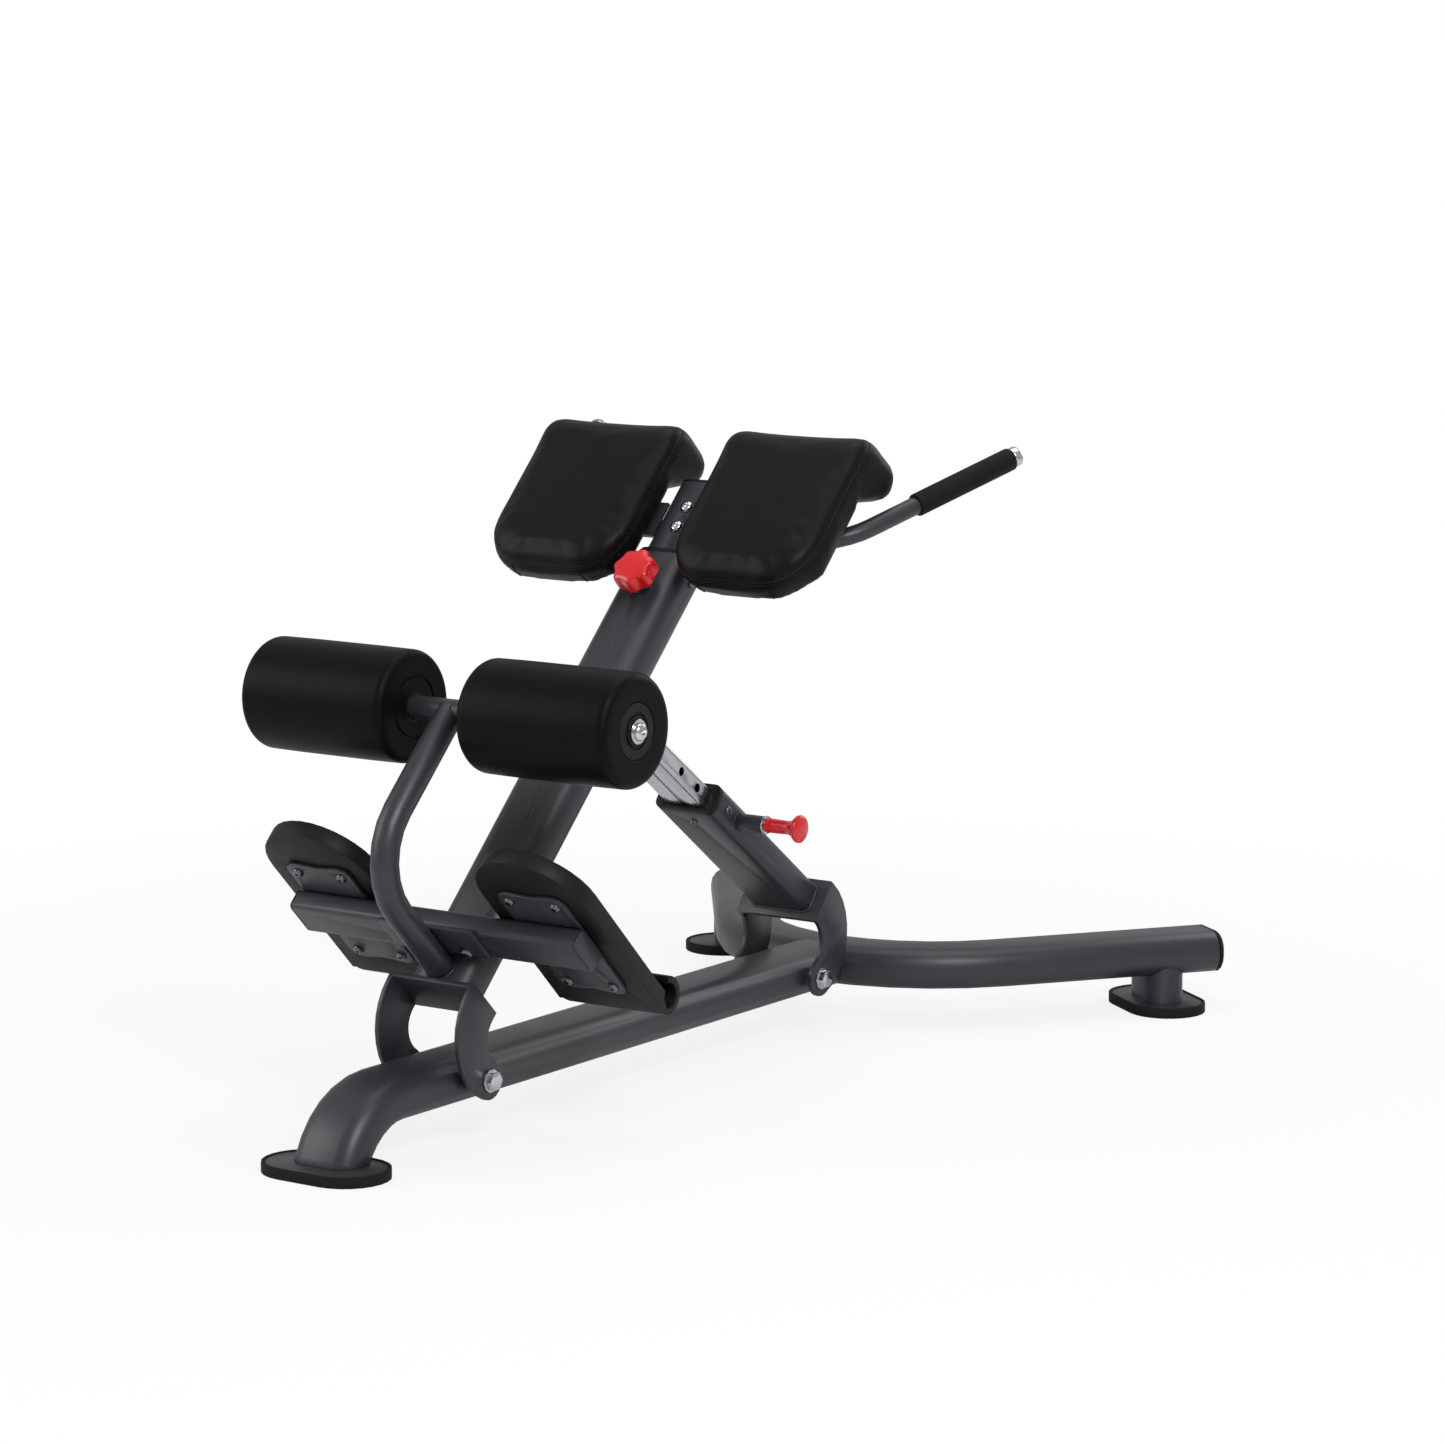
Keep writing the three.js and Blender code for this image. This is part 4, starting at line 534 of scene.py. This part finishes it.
# Ankle rollers: thick closed-cell foam sleeves with a smooth skin, on plastic hubs that turn on the axle.
# The foam has a moulded step at each end, the hub's disc closes the outer one, and a chrome screw with its
# washer keeps it on. The matt, nearly black skin drifts in shade over 90 mm, and its cells are 1.6 mm wide.
foam, tree, shader, place = surface("closed_cell_foam", "#090909", roughness=0.45, Specular_IOR_Level=0.08)
skin = add_node(tree, "ShaderNodeTexNoise", {"Vector": place, "Scale": 11, "Detail": 4})
vary(tree, shader, skin.outputs[0], dark="#080808", light="#0c0c0c", roughness=(0.38, 0.5))
cells = add_node(tree, "ShaderNodeTexVoronoi", {"Vector": place, "Scale": 1 / 0.0016})
emboss(tree, shader, cells.outputs[0], depth=0.00012, strength=0.35)

axle_along = 347.9
axle_out = 329.5
axle_end = 299.8
end_rounding = 12
round_middle = 63
round_inner = 72
round_outer = 285
quarter = [math.radians(9 * i) for i in range(11)]
inner_end = [
    (round_middle + end_rounding * math.sin(a), round_inner - end_rounding * math.cos(a)) for a in quarter
]
outer_end = [
    (round_middle + end_rounding * math.cos(a), round_outer + end_rounding * math.sin(a)) for a in quarter
]
foam_profile = [
    (20.1, 60.4), (38.5, 60.4), (39.4, 62.4), (41.6, 62.4), (42.5, 60.2), (61, 60), *inner_end,
    (75.5, 120), (75.5, 237), *outer_end,
    (58, 297.2), (38.6, 296.6), (37.4, 295.4), (37.4, 288.9), (20.1, 288.9), (20.1, 60.4),
]
hub_profile = [(16.6, 60), (19.8, 60), (19.8, 289), (36.5, 289), (36.5, 295.5), (35.5, 296.2), (24.5, 296.2),
               (23.5, 293.5), (20.5, 293.5), (19.5, 296.8), (8.8, 296.8), (8.8, 288.5), (16.6, 288.5),
               (16.6, 60)]
washer_profile = [(0, -2.5), (15.6, -2.5), (16, -2.1), (16, -0.4), (15.6, 0), (0, 0)]
for side, name in zip((1, -1), ("right", "left")):
    axle = placing(beam_frame, (0, axle_along, axle_out), (side, 0, 0))
    sleeve = turned(foam_profile, axle, steps=96)
    sleeve = finished(sleeve, "roller_sleeve_" + name, foam, "roller_" + name)
    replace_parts(sleeve, "roller_foam_" + name)
    hub = turned(hub_profile, axle, steps=72)
    hub = finished(hub, "roller_bush_" + name, black_plastic, "roller_" + name)
    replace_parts(hub, "roller_hub_" + name)
    seat = placing(beam_frame, (side * axle_end, axle_along, axle_out), (side, 0, 0))
    washer = turned(washer_profile, seat, steps=48)
    bolt = merged([washer, screw_head(seat, radius=12, height=7, socket=8, shank=40)])
    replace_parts(finished(bolt, "roller_screw_" + name, chrome, "beam"), "roller_end_bolt_" + name)

# Handle grips: extruded sleeves of black foam rubber with softened ends, pushed over the handlebar's arms.
# Their cells, drawn 1.1 mm wide, and hands' marks of about 30 mm make them dull and a little uneven.
grip_rubber, tree, shader, place = surface(
    "grip_foam_rubber", "#0d0d0d", roughness=0.7, Specular_IOR_Level=0.2
)
handled = add_node(tree, "ShaderNodeTexNoise", {"Vector": place, "Scale": 35, "Detail": 4})
vary(tree, shader, handled.outputs[0], dark="#0b0b0b", light="#101010", roughness=(0.64, 0.78))
cells = add_node(tree, "ShaderNodeTexVoronoi", {"Vector": place, "Scale": 1 / 0.0011})
emboss(tree, shader, cells.outputs[0], depth=0.00015, strength=0.5)
handlebar_along = 853
arm_start = 248
arm_bend = math.radians(70)
arm_tilt = math.radians(-25.1)
grip_profile = [(12.7, 137.5), (14.4, 137.5), (15.6, 138.1), (16, 139.4), (16, 305.4), (15.6, 306.6),
                (14.4, 307.2), (12.7, 307.2), (12.7, 137.5)]
for side, name in zip((1, -1), ("right", "left")):
    heading = (side * math.cos(arm_bend), math.sin(arm_bend) * math.cos(arm_tilt),
               math.sin(arm_bend) * math.sin(arm_tilt))
    arm = placing(beam_frame, (side * arm_start, handlebar_along, beam_line), heading)
    grip = turned(grip_profile, arm, steps=56)
    grip = finished(grip, "grip_sleeve_" + name, grip_rubber, "pad_carriage")
    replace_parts(grip, "grip_" + name)

# Red knobs: glossy moulded plastic, pressed onto the ends of the two pins. The star knob has seven lobes
# under a domed top, and the pull knob flares from a slim neck to a round button. The red varies a little
# with the plastic's flow, over about 25 mm.
red_plastic, tree, shader, place = surface(
    "gloss_red_plastic", "#d3141b", roughness=0.26, Coat_Weight=0.2, Coat_Roughness=0.12
)
flow = add_node(tree, "ShaderNodeTexNoise", {"Vector": place, "Scale": 40, "Detail": 3})
vary(tree, shader, flow.outputs[0], dark="#c91218", light="#d9171e", roughness=(0.22, 0.32))
star_along = 736.5
star_foot = 127.3
star_radius = 31.5
lobe_count = 7
lobe_depth = 5
pull_along = 295.4
pull_foot = 97.8


def lobed(vertex):
    """Draws a round knob in between its lobes, less and less towards its middle."""
    share = min(1, vertex.co.xy.length / (star_radius / 1000))
    turn = math.atan2(vertex.co.y, vertex.co.x)
    dip = lobe_depth / star_radius * (0.5 - 0.5 * math.cos(lobe_count * turn)) * share ** 3
    vertex.co.xy *= 1 - dip


star_profile = [(0, 0), (26.5, 0), (29.8, 0.8), (31.2, 2.6), (star_radius, 5), (star_radius, 18), (31, 21.2),
                (29.6, 23.6), (27, 25.4), (22, 26.6), (15.5, 27.4), (8, 27.8), (0, 27.9)]
star = turned(star_profile, placing(beam_frame, (0, star_along, star_foot), (0, 0, 1)), steps=84, shape=lobed)
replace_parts(finished(star, "star_knob_body", red_plastic, "knob"), "star_knob")
pull_profile = [(0, 0), (10.2, 0), (10.5, 0.5), (10.5, 3.6), (10.1, 4.4), (9.9, 14), (9.5, 31), (9.6, 36),
                (10.6, 40.5), (13.4, 45), (16.8, 48.6), (18.9, 51), (19.5, 53.2), (19.2, 55), (18, 56.3),
                (14, 57.8), (7, 58.8), (0, 59.1)]
pull = turned(pull_profile, placing(strut_frame, (pull_foot, pull_along, strut_line), (1, 0, 0)), steps=64)
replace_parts(finished(pull, "pull_knob_body", red_plastic, "pull_pin_body"), "pull_knob")

# Boards: birch plywood, stained black, sawn to shape and screwed to the plates, with the pads' foam on them.
# The stain leaves the fibres faintly brown. They are drawn 2 mm wide, coarse enough to show.
plywood, tree, shader, place = surface("stained_plywood", "#1e1b19", roughness=0.7)
across = add_node(tree, "ShaderNodeMapping", {"Vector": place, "Scale": (0.06, 1, 1)})
fibres = add_node(tree, "ShaderNodeTexNoise", {"Vector": across.outputs[0], "Scale": 1 / 0.002, "Detail": 5})
vary(tree, shader, fibres.outputs[0], dark="#181513", light="#262220", roughness=(0.62, 0.78))
for node in sides("pad_board"):
    dress(node, plywood, edge=0.001)

# Welds: fillet beads under the powder coat, where tubes and plates meet. A bead swells and narrows with a
# ripple every 2 mm, as the welder's puddle moves on. A tube's outline is its width, depth and corner.
beam_outline = (101, 61, 26.5)
strut_outline = (101, 46, 12.5)
beam_foot_along = 73.2
strut_foot_along = 63.2
post_foot_along = 92
beam_face = 112
strut_side = 50.2
ring_steps = 48
corner_steps = 6
half_ripple = 0.001
narrow_share = 0.84


def weld(name, points, radius, body):
    """A bead of a radius in millimetres along a closed path of world points."""
    path = []
    for start, end in zip(points, points[1:] + points[:1]):
        count = max(1, round((end - start).length / half_ripple))
        path += [start.lerp(end, i / count) for i in range(count)]
    bead = bpy.data.curves.new(name, "CURVE")
    bead.dimensions = "3D"
    bead.bevel_depth = radius / 1000
    bead.bevel_resolution = 1
    line = bead.splines.new("POLY")
    line.points.add(len(path) - 1)
    for i, (point, place_on) in enumerate(zip(line.points, path)):
        point.co = (*place_on, 1)
        point.radius = 1 if i % 2 else narrow_share
    line.use_cyclic_u = True
    holder = bpy.data.objects.new(name, bead)
    holder.data.materials.append(powder_coat)
    bpy.context.scene.collection.objects.link(holder)
    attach(holder, body)


def ring_path(group, centre, radius, facing):
    """A circle about a round tube or boss."""
    matrix = placing(group, centre, facing)
    turns = [2 * math.pi * i / ring_steps for i in range(ring_steps)]
    return [matrix @ (Vector((radius * math.cos(a), radius * math.sin(a), 0)) / 1000) for a in turns]


def tube_path(group, along, line_out, outline):
    """The outline of a rounded tube, square to its group's length."""
    width, depth, corner = outline
    points = []
    for number, (sx, sz) in enumerate([(1, 1), (-1, 1), (-1, -1), (1, -1)]):
        for step in range(corner_steps + 1):
            a = math.radians(90 * (number + step / corner_steps))
            x = sx * (width / 2 - corner) + corner * math.cos(a)
            z = sz * (depth / 2 - corner) + corner * math.sin(a)
            points.append(group @ (Vector((x, along, line_out + z)) / 1000))
    return points


post_ring = ring_path(beam_frame, (0, post_foot_along, beam_face), radius=20, facing=(0, 0, 1))
weld("roller_post_weld", post_ring, radius=2.2, body="beam")
boss_ring = ring_path(beam_frame, (0, star_along, beam_face), radius=15.6, facing=(0, 0, 1))
weld("knob_boss_weld", boss_ring, radius=1.4, body="beam")
pin_ring = ring_path(strut_frame, (strut_side, pull_along, strut_line), radius=12.6, facing=(1, 0, 0))
weld("pin_boss_weld", pin_ring, radius=1.4, body="strut_outer")
beam_foot = tube_path(beam_frame, beam_foot_along, beam_line, beam_outline)
weld("beam_weld", beam_foot, radius=2.4, body="beam")
strut_foot = tube_path(strut_frame, strut_foot_along, strut_line, strut_outline)
weld("strut_weld", strut_foot, radius=2.2, body="strut_outer")

# Hip pads: firm foam under black grained vinyl, wrapped over the top to the back of the board.
# The right one starts as the CAD cushion and swells a little as cloth, with the rim at its back held.
# The left one is its mirror image. The grain's pebbles are 2.2 mm wide, and its low sheen drifts over 80 mm.
vinyl, tree, shader, place = surface(
    "black_grained_vinyl", "#0b0b0c", roughness=0.42, Specular_IOR_Level=0.14
)
hide = add_node(tree, "ShaderNodeTexVoronoi", {"Vector": place, "Scale": 1 / 0.0022}, feature="SMOOTH_F1")
creases = add_node(tree, "ShaderNodeTexNoise", {"Vector": place, "Scale": 1 / 0.0011, "Detail": 3})
leather = add_node(tree, "ShaderNodeMath", {0: hide.outputs[0], 1: creases.outputs[0]}, operation="ADD")
emboss(tree, shader, leather.outputs[0], depth=0.00025, strength=0.5)
wear = add_node(tree, "ShaderNodeTexNoise", {"Vector": place, "Scale": 13, "Detail": 4})
vary(tree, shader, wear.outputs[0], dark="#0b0b0c", light="#0f0f10", roughness=(0.36, 0.48))

# Places on the right pad, in metres in the beam's frame: across it, out to the rim at the board's edge that
# is held, and along to where the cover starts to wrap over the top
pad_inner = 0.039
pad_outer = 0.271
pad_centre = (pad_inner + pad_outer) / 2
rim_low = 0.09
rim_face = 0.104
rim_high = 0.113
wrap_start = 0.9
even_step = 0.005
most_swell = 0.002
swell_frames = 20
cloth_crease = 80


def smooth_cover(mesh, from_rim):
    """Three passes of smoothing, for the cover in front of the rim and where it wraps over the top."""
    for _ in range(3):
        free = [v for v in mesh.verts if (to_beam @ v.co).z > from_rim or (to_beam @ v.co).y > wrap_start]
        bmesh.ops.smooth_vert(mesh, verts=free, factor=0.5, use_axis_x=True, use_axis_y=True, use_axis_z=True)


shell = bmesh.new()
shell.from_mesh(solids["hip_pad_right"].data)
bmesh.ops.remove_doubles(shell, verts=shell.verts, dist=same_place)
data = bpy.data.meshes.new("pad_start")
shell.to_mesh(data)
shell.free()
pad = bpy.data.objects.new("pad_start", data)
bpy.context.scene.collection.objects.link(pad)
remesh = pad.modifiers.new("even", "REMESH")
remesh.mode = "VOXEL"
remesh.voxel_size = even_step
even = bpy.data.meshes.new_from_object(pad.evaluated_get(bpy.context.evaluated_depsgraph_get()))
bpy.data.objects.remove(pad)

# The CAD cushion's lower corners are cut in flats up to 32 mm wide. The cover rounds them out, but for the
# inner corner's rear part, where the beam passes.
plan_corner = 0.072
flat_ends = (0.02, 0.052, 0.084)
lift_full = 0.77
lift_reach = 0.17
clear_reach = 0.015


def corner_lift(from_side):
    """How far the round corner has risen from the pad's lower end, at a distance in from its side."""
    return plan_corner - math.sqrt(plan_corner ** 2 - max(0, plan_corner - from_side) ** 2)


def flat_depth(from_side):
    """How far a flat lies inside the round corner, at a distance in from the pad's side."""
    for start, end in zip(flat_ends, flat_ends[1:]):
        if start < from_side < end:
            share = (from_side - start) / (end - start)
            return corner_lift(start) * (1 - share) + corner_lift(end) * share - corner_lift(from_side)
    return 0


smooth = bmesh.new()
smooth.from_mesh(even)
for vertex in smooth.verts:
    local = to_beam @ vertex.co
    from_side = min(local.x - pad_inner, pad_outer - local.x)
    low_share = 1 - min(1, max(0, (local.y - lift_full) / lift_reach))
    clear = 1 if local.x > pad_centre else min(1, max(0, (local.z - rim_high) / clear_reach))
    local.y -= flat_depth(from_side) * low_share * clear
    vertex.co = beam_frame @ local
smooth_cover(smooth, rim_face)
smooth.to_mesh(even)
smooth.free()

pad = bpy.data.objects.new("pad_cloth", even)
bpy.context.scene.collection.objects.link(pad)
start_places = [v.co.copy() for v in even.vertices]
held = [
    v.index for v in even.vertices
    if rim_low < (to_beam @ v.co).z < rim_high and (to_beam @ v.co).y < wrap_start
]
pad.vertex_groups.new(name="back").add(held, 1, "ADD")
cloth = pad.modifiers.new("swell", "CLOTH")
cloth.settings.vertex_group_mass = "back"
cloth.settings.use_pressure = True
cloth.settings.uniform_pressure_force = 4
cloth.settings.effector_weights.gravity = 0
cloth.settings.tension_stiffness = 40
cloth.settings.compression_stiffness = 40
for step in range(1, swell_frames + 1):
    bpy.context.scene.frame_set(step)
swollen = bpy.data.meshes.new_from_object(pad.evaluated_get(bpy.context.evaluated_depsgraph_get()))
pad.modifiers.clear()
# The foam is firm, so its cover moves 2 mm at most
for vertex, start, end in zip(even.vertices, start_places, swollen.vertices):
    move = end.co - start
    vertex.co = start + move * min(1, most_swell / max(move.length, 1e-6))
bpy.data.meshes.remove(swollen)
bpy.context.scene.frame_set(1)
eased = bmesh.new()
eased.from_mesh(even)
smooth_cover(eased, rim_high)
eased.to_mesh(even)
eased.free()

# Seams: one runs round each pad 22 mm behind its face, where the face and the side band are sewn together.
# Its thread draws the vinyl in, a thin roll of vinyl stands along it, and polyester stitches show beside
# it. Two upright joints of the band are at the pad's lower end.
# The wave's bands come out 0.38 mm apart, as the turns of a thin twisted thread
thread, tree, shader, place = surface("black_polyester_thread", "#2b2b2c", roughness=0.6)
twist = add_node(tree, "ShaderNodeTexWave", {"Vector": place, "Scale": 1 / 0.0012})
emboss(tree, shader, twist.outputs[0], depth=0.0001, strength=0.6)
seam_out = 0.135
seam_groove_half = 0.005
seam_groove_depth = 0.0012
band_slope = 0.8
seam_centre = Vector((pad_centre, 0.864, seam_out))
seam_rays = 720
ray_start = 0.3
joint_places = (0.098, 0.212)
joint_below = 0.66
joint_first = 0.106
joint_step = 0.002
joint_points = 14
roll_radius = 0.0011
stitch_beside = 0.0042
stitch_pitch = 0.0042
stitch_radius = 0.00055
stitch_stretch = 2.5


def cover_tree(cover):
    """A mesh's faces, for rays and nearest points."""
    return BVHTree.FromPolygons([v.co for v in cover.vertices], [f.vertices for f in cover.polygons])


def pad_seam(cover):
    """Draws a seam line into the pad and returns its points, found from outside towards the middle."""
    for vertex in cover.vertices:
        off = (to_beam @ vertex.co).z - seam_out
        outward = to_beam.to_3x3() @ vertex.normal
        if abs(off) < seam_groove_half and abs(outward.z) < band_slope:
            vertex.co -= vertex.normal * seam_groove_depth * (1 - (off / seam_groove_half) ** 2)
    faces = cover_tree(cover)
    found = []
    for i in range(seam_rays):
        turn = 2 * math.pi * i / seam_rays
        way = Vector((math.cos(turn), math.sin(turn), 0))
        hit = faces.ray_cast(beam_frame @ (seam_centre + way * ray_start), beam_turn @ -way)[0]
        if hit:
            found.append(hit)
    return found


def band_joint(cover, across):
    """The upright joint of the side band at one place along the pad's lower end."""
    faces = cover_tree(cover)
    found = []
    for i in range(joint_points):
        start = beam_frame @ Vector((across, joint_below, joint_first + joint_step * i))
        hit = faces.ray_cast(start, beam_turn @ Vector((0, 1, 0)))[0]
        if hit:
            found.append(hit)
    return found


def seam_cord(points, name, closed):
    """The thin roll of vinyl that stands along a seam."""
    roll = bpy.data.curves.new(name, "CURVE")
    roll.dimensions = "3D"
    roll.bevel_depth = roll_radius
    roll.bevel_resolution = 2
    line = roll.splines.new("POLY")
    line.points.add(len(points) - 1)
    for point, at in zip(line.points, points):
        point.co = (*at, 1)
    line.use_cyclic_u = closed
    holder = bpy.data.objects.new(name, roll)
    holder.data.materials.append(vinyl)
    bpy.context.scene.collection.objects.link(holder)
    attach(holder, "pad_carriage")


def stitches(path, name):
    """Short thread stitches along a closed path, 2.8 mm long and 4.2 mm apart."""
    parts = []
    walked = 0.0
    for start, end in zip(path, path[1:] + path[:1]):
        walked += (end - start).length
        if walked < stitch_pitch:
            continue
        walked = 0.0
        stitch = bmesh.new()
        bmesh.ops.create_icosphere(stitch, subdivisions=1, radius=stitch_radius)
        bmesh.ops.scale(stitch, vec=(1, 1, stitch_stretch), verts=stitch.verts)
        turn = (end - start).to_track_quat("Z", "Y").to_matrix().to_4x4()
        stitch.transform(Matrix.Translation(end) @ turn)
        parts.append(stitch)
    finished(merged(parts), name, thread, "pad_carriage", crease=cloth_crease)


def on_side(points, side):
    """Points found on the right pad, or their mirror images on the left one."""
    return [Vector((side * point.x, point.y, point.z)) for point in points]


seam = pad_seam(even)
joints = [band_joint(even, across) for across in joint_places]
even_faces = cover_tree(even)
towards_face = beam_turn @ Vector((0, 0, stitch_beside))
beside = [even_faces.find_nearest(point + towards_face)[0] for point in seam]
right_cover = bmesh.new()
right_cover.from_mesh(even)
bpy.data.objects.remove(pad)
left_cover = right_cover.copy()
left_cover.transform(Matrix.Diagonal((-1, 1, 1, 1)))
bmesh.ops.reverse_faces(left_cover, faces=left_cover.faces)
for side, name, cover in zip((1, -1), sides("hip_pad"), (right_cover, left_cover)):
    cushion = finished(cover, name + "_cushion", vinyl, "pad_carriage", crease=cloth_crease)
    soften = cushion.modifiers.new("soften", "SUBSURF")
    soften.levels = 1
    soften.render_levels = 1
    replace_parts(cushion, name)
    seam_cord(on_side(seam, side), name + "_seam", closed=True)
    for number, joint in enumerate(joints, 1):
        seam_cord(on_side(joint, side), f"{name}_band_joint_{number}", closed=False)
    stitches(on_side(beside, side), name + "_stitches")
